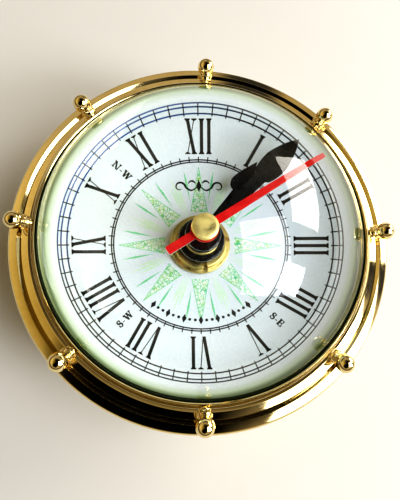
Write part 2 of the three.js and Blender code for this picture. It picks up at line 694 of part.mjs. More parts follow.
// a spade-shaped blade along +Y: a tapering stem, two round lobes and a pointed end
function spadeShape({ root, rootHalf, neck, neckHalf, lobe, lobeHalf, shoulder, tip }) {
  const shape = new THREE.Shape();
  shape.moveTo(-rootHalf, root);
  shape.lineTo(rootHalf, root);
  shape.lineTo(neckHalf, neck);
  shape.bezierCurveTo(lobeHalf, neck + 0.2, lobeHalf * 1.05, lobe, lobeHalf, lobe + 0.5);
  shape.bezierCurveTo(lobeHalf * 0.9, lobe + 2, shoulder, tip - 2.4, 0, tip);
  shape.bezierCurveTo(-shoulder, tip - 2.4, -lobeHalf * 0.9, lobe + 2, -lobeHalf, lobe + 0.5);
  shape.bezierCurveTo(-lobeHalf * 1.05, lobe, -lobeHalf, neck + 0.2, -neckHalf, neck);
  return shape;
}

const HAND_THICKNESS = 0.4;

function handWithHub(blade, bladeBottom, hubRadius, hubBore, hubBottom, hubTop) {
  const edge = 0.3;
  const hub = turned([
    [0, hubBottom],
    [hubRadius, hubBottom],
    [hubRadius, hubTop - edge],
    [hubRadius - edge, hubTop],
    [0, hubTop],
  ], SHAFT_SEGMENTS);
  const arm = plate(blade, bladeBottom, HAND_THICKNESS, 6);
  return cut(joined(hub, arm), rod(hubBore, hubBottom - 1, hubTop + 1));
}

const HOUR_BLADE = {
  root: 3.8, rootHalf: 1.35, neck: 13.7, neckHalf: 0.85,
  lobe: 15.6, lobeHalf: 2.4, shoulder: 1.15, tip: 21.8,
};
const MINUTE_BLADE = {
  root: 3, rootHalf: 1.1, neck: 20.2, neckHalf: 1.35,
  lobe: 23.6, lobeHalf: 2.75, shoulder: 1.6, tip: 31,
};

const SECOND_STICK = {
  tail: -10, tip: 34.1, half: 1, tipHalf: 0.6, chamfer: 0.3, taperFrom: 4, disc: 3.2, bore: 1.4,
};

function secondStick() {
  const { tail, tip, half, tipHalf, chamfer, taperFrom, disc, bore } = SECOND_STICK;
  const shape = new THREE.Shape();
  shape.moveTo(-half, tail + chamfer);
  shape.lineTo(-half + chamfer, tail);
  shape.lineTo(half - chamfer, tail);
  shape.lineTo(half, tail + chamfer);
  shape.lineTo(half, taperFrom);
  shape.lineTo(tipHalf, tip);
  shape.lineTo(-tipHalf, tip);
  shape.lineTo(-half, taperFrom);
  const bottom = DIAL_TOP + 9.5;
  const top = bottom + HAND_THICKNESS;
  const stick = plate(shape, bottom, HAND_THICKNESS);
  return cut(joined(stick, rod(disc, bottom, top)), rod(bore, bottom - 1, top + 1, 16));
}

function secondCap() {
  const top = DIAL_TOP + 11.3;
  const button = turned([
    [0, top - 1.9],
    [1.15, top - 1.9],
    [1.15, top - 1.1],
    [2.9, top - 1.1],
    [3.1, top - 0.9],
    [3.1, top - 0.45],
    [2.7, top - 0.15],
    [1.4, top],
    [0, top],
  ], SHAFT_SEGMENTS);
  const stem = rod(1.15, DIAL_TOP + 7.9, top - 1.8, 16);
  return cut(joined(button, stem), rod(SECOND_ARBOR_RADIUS + 0.1, DIAL_TOP + 5, DIAL_TOP + 9.9, 16));
}

addPart('hour_hand', handWithHub(spadeShape(HOUR_BLADE), DIAL_TOP + 3, 5.2,
  HOUR_PIPE_RADIUS + 0.15, DIAL_TOP + 2.5, DIAL_TOP + 3.7), blackLacquer, [0, 0, 0], HOUR_ANGLE);
addPart('hour_hand_collet', tube(3.95, HOUR_PIPE_RADIUS + 0.15, DIAL_TOP + 3.9, DIAL_TOP + 4.7),
  turnedBrass);
addPart('minute_hand', handWithHub(spadeShape(MINUTE_BLADE), DIAL_TOP + 6.2, 4.05,
  MINUTE_PIPE_RADIUS + 0.15, DIAL_TOP + 5.7, DIAL_TOP + 7), blackLacquer, [0, 0, 0], MINUTE_ANGLE);
addPart('second_hand', secondStick(), redLacquer, [0, 0, 0], SECOND_ANGLE);
addPart('second_hand_cap', secondCap(), polishedBrass);

export default group;
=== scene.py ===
import json
import math

import bmesh
import bpy
from mathutils import Matrix, Vector
from mathutils.geometry import tessellate_polygon


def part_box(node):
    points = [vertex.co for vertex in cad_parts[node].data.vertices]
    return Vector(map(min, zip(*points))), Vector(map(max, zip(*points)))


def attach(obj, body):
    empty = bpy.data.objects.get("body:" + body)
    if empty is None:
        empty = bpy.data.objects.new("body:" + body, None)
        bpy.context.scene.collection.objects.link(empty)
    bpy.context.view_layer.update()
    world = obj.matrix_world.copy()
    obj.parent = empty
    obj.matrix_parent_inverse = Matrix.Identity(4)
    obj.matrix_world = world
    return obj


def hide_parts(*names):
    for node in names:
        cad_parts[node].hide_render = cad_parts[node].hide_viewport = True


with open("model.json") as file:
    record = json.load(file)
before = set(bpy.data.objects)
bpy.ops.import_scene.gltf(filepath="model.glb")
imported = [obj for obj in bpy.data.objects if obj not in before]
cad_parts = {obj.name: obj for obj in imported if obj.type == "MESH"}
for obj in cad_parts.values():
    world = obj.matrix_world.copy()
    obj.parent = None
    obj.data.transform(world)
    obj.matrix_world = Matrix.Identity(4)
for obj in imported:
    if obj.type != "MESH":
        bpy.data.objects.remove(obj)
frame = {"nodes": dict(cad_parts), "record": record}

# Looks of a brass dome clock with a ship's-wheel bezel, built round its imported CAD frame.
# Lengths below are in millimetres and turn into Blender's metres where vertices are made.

MM = 0.001
FULL_TURN = 2 * math.pi
SCENE = bpy.context.scene
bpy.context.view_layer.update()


# ---- sizes from the frame

def corners(node):
    """A CAD node's lowest and highest corners, in millimetres."""
    low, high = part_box(node)
    return low / MM, high / MM


BEZEL_HIGH = corners("bezel_ring")[1]
FLANGE_RADIUS = BEZEL_HIGH.x
LIP_TOP = BEZEL_HIGH.z
FLANGE_TOP = LIP_TOP - 3.5
DIAL_LOW, DIAL_HIGH = corners("dial_plate")
DIAL_TOP = DIAL_HIGH.z
DIAL_VIEW_RADIUS = 35.6
LENS_LOW, LENS_HIGH = corners("glass_dome")
LENS_RADIUS = LENS_HIGH.x
LENS_UNDERSIDE = LENS_LOW.z
LENS_APEX = LENS_HIGH.z
LENS_EDGE_TOP = LIP_TOP - 0.3
LIP_INNER, LIP_OUTER = LENS_RADIUS + 0.3, 46.3  # radii
CASE_LOW, CASE_HIGH = corners("case_body")

BODY_OF = {node: body for body, nodes in frame["record"]["behaviour"]["bodies"].items() for node in nodes}
SLOT_OF = {subpart["node"]: subpart["material_slot"] for subpart in frame["record"]["subparts"]}

NUT_SLOTS = 4
NUT_SLOT_TURN = 80  # degrees from the X axis, clockwise, of the first key slot
HANDLE_COUNT = 8
HANDLE_TURN = -1.3  # degrees; the bezel sits a little clockwise of the dial
HOUR_ANGLE, MINUTE_ANGLE, SECOND_ANGLE = 35.4, 45, 57.5  # degrees clockwise from XII
BLADE_THICKNESS = 0.4

RING_SEGMENTS = 256
FINE_RING_SEGMENTS = 360
SMALL_SEGMENTS = 96
SHARP_ANGLE = 35  # degrees; steeper edges are shaded as sharp


# ---- mesh helpers

def smoothed(mesh, below=SHARP_ANGLE):
    """Shades a mesh smooth, but for its edges over an angle in degrees."""
    mesh.shade_smooth()
    mesh.set_sharp_from_angle(angle=math.radians(below))


def new_object(name, mesh, materials, smooth_below=SHARP_ANGLE):
    """Links a mesh as an object with its materials."""
    mesh.update()
    smoothed(mesh, smooth_below)
    for material in materials:
        mesh.materials.append(material)
    piece = bpy.data.objects.new(name, mesh)
    SCENE.collection.objects.link(piece)
    return piece


def place(piece, body, slot):
    """Gives a piece its body; the slot argument is not used."""
    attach(piece, body)


def stand_for(piece, node):
    """Puts a piece in a CAD node's place, with that node's body."""
    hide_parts(node)
    place(piece, BODY_OF[node], SLOT_OF[node])


def rectangle(x0, y0, x1, y1):
    return [(x0, y0), (x1, y0), (x1, y1), (x0, y1)]


def arc(x, y, radius, start, end, steps=10):
    """Points along an arc, with its angles in degrees."""
    angles = [math.radians(start + (end - start) * i / steps) for i in range(steps + 1)]
    return [(x + radius * math.cos(a), y + radius * math.sin(a)) for a in angles]


def rounded(points, steps=5):
    """A closed outline whose corners (x, y, radius) become arcs; a plain (x, y) stays sharp."""
    outline = []
    for i, corner in enumerate(points):
        here = Vector(corner[:2])
        radius = corner[2] if len(corner) > 2 else 0
        if radius == 0:
            outline.append(tuple(here))
            continue
        back = (Vector(points[i - 1][:2]) - here).normalized()
        ahead = (Vector(points[(i + 1) % len(points)][:2]) - here).normalized()
        half = back.angle(ahead) / 2
        centre = here + (back + ahead).normalized() * radius / math.sin(half)
        reach = radius / math.tan(half)
        first = here + back * reach - centre
        last = here + ahead * reach - centre
        start = math.atan2(first.y, first.x)
        turn = (math.atan2(last.y, last.x) - start + math.pi) % FULL_TURN - math.pi
        outline += arc(centre.x, centre.y, radius, math.degrees(start), math.degrees(start + turn), steps)
    return outline


def anticlockwise(outline):
    """The points of a closed outline, in anticlockwise order."""
    pairs = zip(outline, outline[1:] + outline[:1])
    area = sum(a[0] * b[1] - b[0] * a[1] for a, b in pairs)
    return list(outline) if area > 0 else list(reversed(outline))


def lathe_mesh(name, outline, segments=RING_SEGMENTS):
    """A turned solid: the closed outline holds (radius, height), and radius 0 is on the axis."""
    vertices, rings = [], []
    for radius, height in anticlockwise(outline):
        if radius < 1e-6:
            rings.append([len(vertices)] * segments)
            vertices.append((0, 0, height * MM))
            continue
        rings.append(list(range(len(vertices), len(vertices) + segments)))
        for i in range(segments):
            angle = FULL_TURN * i / segments
            vertices.append((radius * math.cos(angle) * MM, radius * math.sin(angle) * MM, height * MM))
    faces = []
    for low, high in zip(rings, rings[1:] + rings[:1]):
        for i in range(segments):
            after = (i + 1) % segments
            face = list(dict.fromkeys((low[i], low[after], high[after], high[i])))
            if len(face) > 2:
                faces.append(face)
    mesh = bpy.data.meshes.new(name)
    mesh.from_pydata(vertices, [], faces)
    return mesh


def lathe(name, outline, material, segments=RING_SEGMENTS, smooth_below=SHARP_ANGLE):
    return new_object(name, lathe_mesh(name, outline, segments), [material], smooth_below)


def prisms(name, outlines, bottom, top, materials, side_index=0):
    """One object of separate flat plates; side_index is their edges' material."""
    build = bmesh.new()
    for outline in map(anticlockwise, outlines):
        low = [build.verts.new((x * MM, y * MM, bottom * MM)) for x, y in outline]
        high = [build.verts.new((x * MM, y * MM, top * MM)) for x, y in outline]
        flat = [Vector((x, y, 0)) for x, y in outline]
        for triangle in tessellate_polygon([flat]):
            a, b, c = (flat[i] for i in triangle)
            triangle = triangle if (b - a).cross(c - a).z > 0 else tuple(reversed(triangle))
            build.faces.new([high[i] for i in triangle])
            build.faces.new([low[i] for i in reversed(triangle)])
        for i in range(len(outline)):
            after = (i + 1) % len(outline)
            side = build.faces.new((low[i], low[after], high[after], high[i]))
            side.material_index = side_index
    mesh = bpy.data.meshes.new(name)
    build.to_mesh(mesh)
    build.free()
    return new_object(name, mesh, materials)


def joined(name, pieces):
    """Joins several objects to the first of them."""
    bpy.context.view_layer.update()
    with bpy.context.temp_override(active_object=pieces[0], selected_editable_objects=pieces):
        bpy.ops.object.join()
    pieces[0].name = name
    pieces[0].data.name = name
    return pieces[0]


def apply_modifiers(piece):
    graph = bpy.context.evaluated_depsgraph_get()
    mesh = bpy.data.meshes.new_from_object(piece.evaluated_get(graph))
    piece.modifiers.clear()
    piece.data = mesh
    return piece


def cut(piece, tools):
    """Cuts the tools out of the piece and deletes them."""
    for tool in tools:
        modifier = piece.modifiers.new("cut", "BOOLEAN")
        modifier.operation = "DIFFERENCE"
        modifier.solver = "EXACT"
        modifier.object = tool
    bpy.context.view_layer.update()
    apply_modifiers(piece)
    for tool in tools:
        bpy.data.objects.remove(tool)
    smoothed(piece.data)
    return piece


def paint_faces(piece, material, chosen):
    """Gives a second material to the faces that a test chooses."""
    piece.data.materials.append(material)
    for face in piece.data.polygons:
        face.material_index = int(chosen(face))


def turned_by(piece, degrees):
    """Turns a piece's mesh clockwise as seen from the front, about the arbors' axis."""
    piece.data.transform(Matrix.Rotation(-math.radians(degrees), 4, "Z"))
    return piece


def clock_point(radius, angle, across=0):
    """A point at a radius and an angle clockwise from XII, moved across to the right of that ray."""
    a = math.radians(angle)
    return (radius * math.sin(a) + across * math.cos(a), radius * math.cos(a) - across * math.sin(a))


def ribbon(points, widths):
    """The outline of a stroke along points, with its width at each."""
    left, right = [], []
    for i, point in enumerate(points):
        here = Vector(point)
        before = Vector(points[max(i - 1, 0)])
        after = Vector(points[min(i + 1, len(points) - 1)])
        along = (after - before).normalized()
        side = Vector((-along.y, along.x)) * widths[i] / 2
        left.append(tuple(here + side))
        right.append(tuple(here - side))
    return left + right[::-1]


def curve_through(start, first, second, end, steps=14):
    """Points of a cubic curve, without its start."""
    points = []
    for i in range(1, steps + 1):
        t = i / steps
        weights = ((1 - t) ** 3, 3 * t * (1 - t) ** 2, 3 * t * t * (1 - t), t ** 3)
        weighted = list(zip(weights, (start, first, second, end)))
        points.append(tuple(sum(weight * point[axis] for weight, point in weighted) for axis in (0, 1)))
    return points


# ---- material helpers

class Nodes:
    """Short ways to add nodes to a shader tree."""

    def __init__(self, tree):
        self.tree = tree

    def feed(self, entry, value):
        """Links a socket into an input socket, or gives that input a value."""
        if isinstance(value, bpy.types.NodeSocket):
            self.tree.links.new(value, entry)
        else:
            entry.default_value = value

    def node(self, kind, inputs=(), **settings):
        """A shader node; inputs maps its inputs' names or places to sockets or to values."""
        made = self.tree.nodes.new(f"ShaderNode{kind}")
        for setting, value in settings.items():
            setattr(made, setting, value)
        for entry, value in dict(inputs).items():
            self.feed(made.inputs[entry], value)
        return made

    def mix(self, factor, first, second, blend="MIX"):
        """A colour between two; each is a socket or an RGB triple."""
        ends = [end if isinstance(end, bpy.types.NodeSocket) else (*end, 1) for end in (first, second)]
        inputs = {"Factor": factor, 6: ends[0], 7: ends[1]}
        return self.node("Mix", inputs, data_type="RGBA", blend_type=blend).outputs[2]


class Look(Nodes):
    """A node material round one Principled shader. Sizes of patterns are in millimetres."""

    def __init__(self, name, **sockets):
        self.material = bpy.data.materials.new(name)
        self.material.use_nodes = True
        super().__init__(self.material.node_tree)
        self.tree.nodes.clear()
        self.output = self.node("OutputMaterial")
        self.shader = self.node("BsdfPrincipled")
        self.feed(self.output.inputs["Surface"], self.shader.outputs["BSDF"])
        for socket, value in sockets.items():
            self.shader.inputs[socket.replace("_", " ")].default_value = value
        self.place = self.node("TexCoord").outputs["Object"]

    def math(self, operation, a, b=0.0):
        return self.node("Math", {0: a, 1: b}, operation=operation).outputs[0]

    def stretched(self, scale):
        """The object's coordinates, stretched by a factor along each axis."""
        return self.node("Mapping", {"Vector": self.place, "Scale": scale}).outputs["Vector"]

    def radius(self):
        """Distance from the arbors' axis, in millimetres."""
        inputs = {0: self.place, 1: (1 / MM, 1 / MM, 0)}
        flat = self.node("VectorMath", inputs, operation="MULTIPLY").outputs[0]
        return self.node("VectorMath", {0: flat}, operation="LENGTH").outputs["Value"]

    def noise(self, size, detail=3, place=None, roughness=0.55):
        inputs = {"Vector": place or self.place, "Scale": 1 / (size * MM)}
        inputs |= {"Detail": detail, "Roughness": roughness}
        return self.node("TexNoise", inputs).outputs["Fac"]

    def rings(self, size):
        """Fine random marks that run round the axis, as a turning tool leaves."""
        inputs = {"W": self.radius(), "Scale": 1 / size, "Detail": 4, "Roughness": 0.7}
        return self.node("TexNoise", inputs, noise_dimensions="1D").outputs["Fac"]

    def cells(self, size, feature="DISTANCE_TO_EDGE"):
        inputs = {"Vector": self.place, "Scale": 1 / (size * MM)}
        return self.node("TexVoronoi", inputs, feature=feature).outputs["Distance"]

    def spread(self, value, low, high, bottom=0.0, top=1.0):
        """Maps low..high of a value onto bottom..top, clamped."""
        inputs = {"Value": value, "From Min": low, "From Max": high, "To Min": bottom, "To Max": top}
        return self.node("MapRange", inputs, clamp=True).outputs["Result"]

    def colour(self, value):
        self.feed(self.shader.inputs["Base Color"], value)

    def tones(self, value, low, high, first, second):
        """Colours the surface from first to second as a value goes from low to high."""
        self.colour(self.mix(self.spread(value, low, high), first, second))

    def gloss(self, value, low, high, first, second):
        """Takes the roughness from first to second as a value goes from low to high."""
        self.feed(self.shader.inputs["Roughness"], self.spread(value, low, high, first, second))

    def bump(self, height, distance, strength=0.5, after=None):
        """Bump from a height in 0..1, which stands for a distance in millimetres."""
        inputs = {"Height": height, "Strength": strength, "Distance": distance * MM}
        if after is not None:
            inputs["Normal"] = after
        normal = self.node("Bump", inputs).outputs["Normal"]
        self.feed(self.shader.inputs["Normal"], normal)
        return normal


# ---- materials

def brass(name, light, dark, roughness, marks, mark_depth):
    """Brass with cloudy lacquer, wear that shifts its gloss, and faint turning marks."""
    look = Look(name, Metallic=1.0)
    cloud = look.math("MULTIPLY", look.noise(14, 4), 0.75)
    fleck = look.math("MULTIPLY", look.noise(0.9, 5), 0.25)
    look.tones(look.math("ADD", cloud, fleck), 0.36, 0.62, dark, light)
    look.gloss(look.noise(5, 5), 0.3, 0.75, roughness * 0.6, roughness * 1.7)
    ringed = look.bump(look.rings(marks), mark_depth, 0.6)
    scratches = look.noise(0.35, 4, look.stretched((1, 0.12, 0.4)))
    look.bump(scratches, 0.0012, 0.35, ringed)
    return look.material


def dial_paint():
    """Matt white print ground with a faint cool cast and fine mottling; towards its rim a painted
    olive-green reflection and a painted dark green shade of the lens edge.
    """
    look = Look("dial_white", Specular_IOR_Level=0.3)
    mottle = look.noise(0.55, 6)
    near = look.mix(look.spread(mottle, 0.35, 0.7), (0.74, 0.83, 0.93), (0.83, 0.90, 0.98))
    radius = look.radius()
    # Painted light at the rim: from 32.8 mm an olive-green painted reflection of the lens edge, then from
    # 34.3 mm a painted dark green shade where the seal and bezel wall darken the rim.
    pale = look.mix(look.spread(radius, 32.8, 35.2), near, (0.40, 0.55, 0.30))
    look.tones(radius, 34.3, 35.5, pale, (0.05, 0.10, 0.015))
    look.gloss(mottle, 0.3, 0.8, 0.42, 0.62)
    look.bump(look.noise(0.25, 3), 0.004)
    return look.material


def printing_ink(name, roughness):
    """A matt look with the fine relief of a screen print, without its colour."""
    look = Look(name, Specular_IOR_Level=0.3, Roughness=roughness)
    look.bump(look.noise(0.15, 2), 0.003)
    return look


def ink(name, tone, faded):
    """Printing ink: its density varies a little over the print."""
    look = printing_ink(name, 0.55)
    look.tones(look.noise(0.6, 4), 0.45, 0.8, tone, faded)
    return look.material


def track_ink():
    """Ink of the minute track: black, with a painted bluish reflection on the side towards X."""
    look = printing_ink("track_ink", 0.5)
    parts = look.node("SeparateXYZ", {"Vector": look.place})
    lean = look.math("SUBTRACT", parts.outputs["Y"], parts.outputs["X"])
    # Painted reflection: the track is tinted towards blue on the side towards X, standing in for the dome's
    # bluish reflection there.
    blue = look.spread(look.math("ADD", lean, look.math("MULTIPLY", look.noise(9), 0.008)), 0.022, 0.044)
    look.colour(look.mix(blue, (0.008, 0.008, 0.01), (0.04, 0.11, 0.36)))
    return look.material


def net_print():
    """Net of the compass rays: fine broken green lines on a nearly white ground."""
    look = printing_ink("rose_net", 0.55)
    lines = look.spread(look.cells(0.8), 0.03, 0.1, 1, 0)
    broken = look.spread(look.noise(0.5, 2), 0.34, 0.46)
    green = look.mix(look.spread(look.noise(1.6), 0.42, 0.6), (0.06, 0.56, 0.26), (0.36, 0.66, 0.10))
    ground = look.mix(look.spread(look.noise(0.6), 0.5, 0.66), (0.82, 0.91, 0.89), (0.42, 0.80, 0.60))
    look.colour(look.mix(look.math("MULTIPLY", lines, broken), ground, green))
    return look.material


def lacquer(name, tone, lighter, roughness):
    """Satin lacquer on a stamped hand, with a little fine dust."""
    look = Look(name, Coat_Weight=0.2, Coat_Roughness=0.15)
    dust = look.spread(look.cells(0.8, "F1"), 0.03, 0.07, 1, 0)
    some = look.spread(look.noise(3.5, 2), 0.6, 0.66)
    cloud = look.mix(look.spread(look.noise(1.6, 4), 0.4, 0.7), tone, lighter)
    look.colour(look.mix(look.math("MULTIPLY", dust, some), cloud, (0.30, 0.29, 0.27)))
    look.gloss(look.noise(2.5, 4), 0.3, 0.75, roughness * 0.7, roughness * 1.4)
    look.bump(look.noise(0.12, 2), 0.003)
    return look.material


def grained(name, tones, contrast, gloss, size, depth, stretch=(1, 1, 1), detail=4, **sockets):
    """One fine grain that stands up as relief, and runs through two tones and a range of roughness."""
    look = Look(name, **sockets)
    grain = look.noise(size, detail, look.stretched(stretch))
    look.tones(grain, *contrast, *tones)
    look.gloss(grain, 0.3, 0.7, *gloss)
    look.bump(grain, depth)
    return look.material


def clear_glass():
    """Clear solid glass, faintly green in its depth; shadow and diffuse rays pass straight through."""
    look = Look("clear_glass", Transmission_Weight=1.0, IOR=1.5, Roughness=0.0)
    look.tones(look.noise(11, 4), 0.4, 0.7, (0.985, 1.0, 0.995), (1.0, 1.0, 1.0))
    clear = look.node("BsdfTransparent", {"Color": (0.975, 0.985, 0.985, 1)})
    path = look.node("LightPath")
    through = look.math("MAXIMUM", path.outputs["Is Shadow Ray"], path.outputs["Is Diffuse Ray"])
    shaders = {"Fac": through, 1: look.shader.outputs["BSDF"], 2: clear.outputs["BSDF"]}
    mixed = look.node("MixShader", shaders)
    look.feed(look.output.inputs["Surface"], mixed.outputs["Shader"])
    depth = look.node("VolumeAbsorption", {"Color": (0.86, 0.97, 0.93, 1), "Density": 2.5})
    look.feed(look.output.inputs["Volume"], depth.outputs["Volume"])
    return look.material


def moulded(name, tone, lighter, roughness, grain):
    """Moulded plastic with a fine spark-eroded texture."""
    look = Look(name, Specular_IOR_Level=0.45)
    look.tones(look.noise(7, 3), 0.35, 0.7, tone, lighter)
    texture = look.noise(grain, 3)
    look.gloss(texture, 0.3, 0.75, roughness * 0.8, roughness * 1.25)
    look.bump(texture, 0.02)
    return look.material


def felt():
    """Pressed wool felt: short matted fibres and lighter fluff."""
    look = Look("green_felt", Roughness=0.95, Sheen_Weight=0.6, Sheen_Roughness=0.5)
    fibre = look.noise(0.35, 6, look.stretched((1, 0.35, 1)), 0.7)
    fluff = look.noise(1.2, 5, look.stretched((0.4, 1, 1)), 0.7)
    look.tones(fibre, 0.35, 0.7, (0.012, 0.055, 0.028), (0.05, 0.16, 0.08))
    look.bump(look.math("ADD", fibre, fluff), 0.18, 0.8)
    return look.material


def winding():
    """Enamelled copper wire, turn beside turn along Y."""
    look = Look("copper_wire", Metallic=1.0, Roughness=0.3)
    wave = look.node("TexWave", {
        "Vector": look.place, "Scale": 1200, "Distortion": 0.6, "Detail": 1,
    }, bands_direction="Y").outputs["Fac"]
    look.colour(look.mix(wave, (0.30, 0.09, 0.03), (0.82, 0.36, 0.17)))
    look.bump(wave, 0.1, 0.9)
    return look.material


def board():
    """Circuit board: green solder resist over copper tracks."""
    look = Look("circuit_board", Roughness=0.35)
    tracks = look.node("TexBrick", {
        "Vector": look.place, "Scale": 260, "Mortar Size": 0.06,
        "Color1": (0.01, 0.13, 0.05, 1), "Color2": (0.015, 0.17, 0.06, 1), "Mortar": (0.04, 0.33, 0.12, 1),
    })
    look.colour(tracks.outputs["Color"])
    look.bump(tracks.outputs["Fac"], 0.05, 0.6)
    return look.material


def cell_wrap():
    """Printed foil of the battery: dark body and a copper-coloured band at its positive end."""
    look = Look("battery_wrap", Metallic=0.55, Roughness=0.3)
    along = look.node("SeparateXYZ", {"Vector": look.place}).outputs["X"]
    band = look.spread(along, 0.0128, 0.0130)
    stripe = look.spread(look.math("ABSOLUTE", look.math("SUBTRACT", along, 0.0112)), 0.0003, 0.0004, 1, 0)
    scuffs = look.spread(look.noise(2.5, 6), 0.55, 0.8, 0, 0.35)
    body = look.mix(band, (0.012, 0.018, 0.05), (0.55, 0.27, 0.10))
    lined = look.mix(stripe, body, (0.75, 0.72, 0.65))
    look.colour(look.mix(scuffs, lined, (0.28, 0.27, 0.26)))
    look.bump(look.noise(1.5, 4), 0.02, 0.4)
    return look.material


POLISHED = brass("polished_brass", (0.91, 0.76, 0.42), (0.79, 0.62, 0.29), 0.06, 0.35, 0.0012)
TURNED = brass("turned_brass", (0.82, 0.67, 0.34), (0.62, 0.48, 0.21), 0.2, 0.12, 0.006)
SATIN = brass("satin_brass", (0.80, 0.66, 0.28), (0.60, 0.46, 0.17), 0.34, 0.25, 0.01)
CAP = brass("cap_brass", (0.86, 0.72, 0.32), (0.74, 0.60, 0.24), 0.42, 0.45, 0.04)
DIAL = dial_paint()
BLACK_INK = ink("black_ink", (0.008, 0.008, 0.008), (0.02, 0.02, 0.02))
TRACK_INK = track_ink()
GREEN_INK = ink("green_ink", (0.20, 0.68, 0.40), (0.42, 0.80, 0.45))
PALE_INK = ink("pale_green_ink", (0.66, 0.88, 0.72), (0.80, 0.93, 0.82))
NET = net_print()
BLACK = lacquer("black_lacquer", (0.006, 0.006, 0.006), (0.014, 0.014, 0.013), 0.28)
RED = lacquer("red_lacquer", (0.62, 0.006, 0.006), (0.74, 0.015, 0.012), 0.4)
EDGE = grained(
    "sheared_edge", ((0.78, 0.78, 0.76), (0.95, 0.95, 0.93)), (0, 1), (0.22, 0.42), 0.1, 0.004,
    stretch=(1, 1, 0.15), detail=3, Metallic=1.0,
)
GLASS = clear_glass()
GROUND_EDGE = grained(
    "ground_glass_edge", ((0.012, 0.05, 0.003), (0.04, 0.12, 0.01)), (0.35, 0.7), (0.45, 0.7), 0.5, 0.02,
    Specular_IOR_Level=0.1,
)
WHITE_PLASTIC = moulded("white_plastic", (0.72, 0.69, 0.62), (0.80, 0.78, 0.72), 0.45, 0.2)
RUBBER = grained(
    "black_rubber", ((0.006, 0.011, 0.003), (0.016, 0.026, 0.008)), (0, 1), (0.6, 0.85), 0.3, 0.02,
    Specular_IOR_Level=0.1,
)
FELT = felt()
STEEL = grained(
    "steel", ((0.42, 0.43, 0.44), (0.62, 0.63, 0.64)), (0.3, 0.7), (0.21, 0.42), 0.15, 0.004,
    stretch=(0.06, 1, 1), Metallic=1.0,
)
WRAP = cell_wrap()


# ---- bezel, handles, case and dome

def bezel():
    """Brass ring in one turning: two flat bands with a V groove between, and a raised lip."""
    top = FLANGE_TOP
    wall = CASE_HIGH.z + 0.3
    seat = DIAL_TOP + 0.3
    skirt = LIP_INNER - 0.25
    ledge = LENS_UNDERSIDE - 1
    groove_outer, groove_floor, groove_inner = 51.4, 50.35, 50.15
    outline = rounded([
        (DIAL_VIEW_RADIUS, seat), (skirt, seat), (skirt, wall), (CASE_HIGH.x - 2, wall),
        (CASE_HIGH.x + 0.5, top - 2.8, 1.5), (FLANGE_RADIUS - 0.7, top - 2.3, 0.5),
        (FLANGE_RADIUS, top - 1.7, 0.35), (FLANGE_RADIUS, top - 0.9, 0.45),
        (FLANGE_RADIUS - 0.5, top - 0.4, 0.55), (groove_outer, top + 0.1, 0.07),
        (groove_floor, top - 0.75, 0.1), (groove_inner, top + 0.1, 0.07),
        (48.3, top + 0.5, 0.6), (LIP_OUTER + 1, top + 1.2, 0.9),
        (LIP_OUTER + 0.4, top + 2.3, 1.6), (LIP_OUTER, LIP_TOP - 0.15, 0.12),
        (LIP_OUTER - 0.2, LIP_TOP, 0.1), (LIP_INNER, LIP_TOP - 0.2, 0.1),
        (LIP_INNER, ledge), (LIP_INNER - 3, ledge),
    ])
    piece = lathe("bezel_turned", outline, POLISHED, FINE_RING_SEGMENTS, 40)
    stand_for(piece, "bezel_ring")


def handle(index):
    """A turned handle: spigot, collar, waist, two rings and a ball, which leans outwards."""
    spigot, collar, waist, ring, ball = 0.9, 1.8, 1.5, 2.05, 2.45
    root = Vector((LIP_OUTER + 0.7, FLANGE_TOP + 2.3))
    centre = Vector((51.1, FLANGE_TOP + 4.3))
    length = (centre - root).length
    ball_start = math.degrees(math.asin(waist / ball)) - 90
    outline = [
        (0, 0), (spigot, 0), (spigot, 0.45),
        *arc(collar - 0.16, 0.66, 0.16, -90, 80, 6),
        *arc(waist + 0.32, 1.18, 0.3, 110, 180, 5),
        *arc(ring - 0.26, 1.78, 0.24, -60, 75, 7),
        (ring - 0.22, 2.06),
        *arc(ring - 0.2, 2.25, 0.17, -70, 75, 7),
        (waist, 2.5),
        *[(x, length + y) for x, y in arc(0, 0, ball, ball_start, 90, 26)[:-1]],
        (0, length + ball),
    ]
    mesh = lathe_mesh(f"handle_turned_{index}", outline, 64)
    lean = math.atan2(centre.y - root.y, centre.x - root.x)
    turn = math.radians(90 + HANDLE_TURN - (index - 1) * 360 / HANDLE_COUNT)
    mesh.transform(
        Matrix.Rotation(turn, 4, "Z")
        @ Matrix.Translation(Vector((root.x, 0, root.y)) * MM)
        @ Matrix.Rotation(math.pi / 2 - lean, 4, "Y")
    )
    piece = new_object(f"handle_turned_{index}", mesh, [POLISHED], 40)
    stand_for(piece, f"handle_{index}")


def case():
    """Spun brass cup: rolled foot bead, two fine grooves and the ledge that carries the dial."""
    bottom, top = CASE_LOW.z, CASE_HIGH.z
    side = CASE_HIGH.x - 2
    opening, ledge = 38.6, 38.2
    well = LENS_RADIUS + 0.35
    seat = DIAL_LOW.z - 0.3
    grooves = []
    for height in (bottom + 7.2, top - 3.2):
        grooves += [(side, height - 0.5), *arc(side, height, 0.35, 270, 90, 6), (side, height + 0.5)]
    outline = [
        (opening, bottom),
        *arc(side + 1.2, bottom + 0.8, 0.8, 270, 360, 6),
        *arc(side + 1.1, bottom + 2.4, 0.9, 0, 75, 6),
        *arc(side + 1.15, bottom + 4.6, 1.15, 255, 180, 6),
        *grooves,
        (side, top - 0.4), (side - 0.4, top), (well, top),
        (well, seat), (ledge, seat), (ledge, seat - 2),
        (well, seat - 2), (well, bottom + 2), (opening, bottom + 2),
    ]
    piece = lathe("case_turned", outline, TURNED, RING_SEGMENTS, 40)
    stand_for(piece, "case_body")


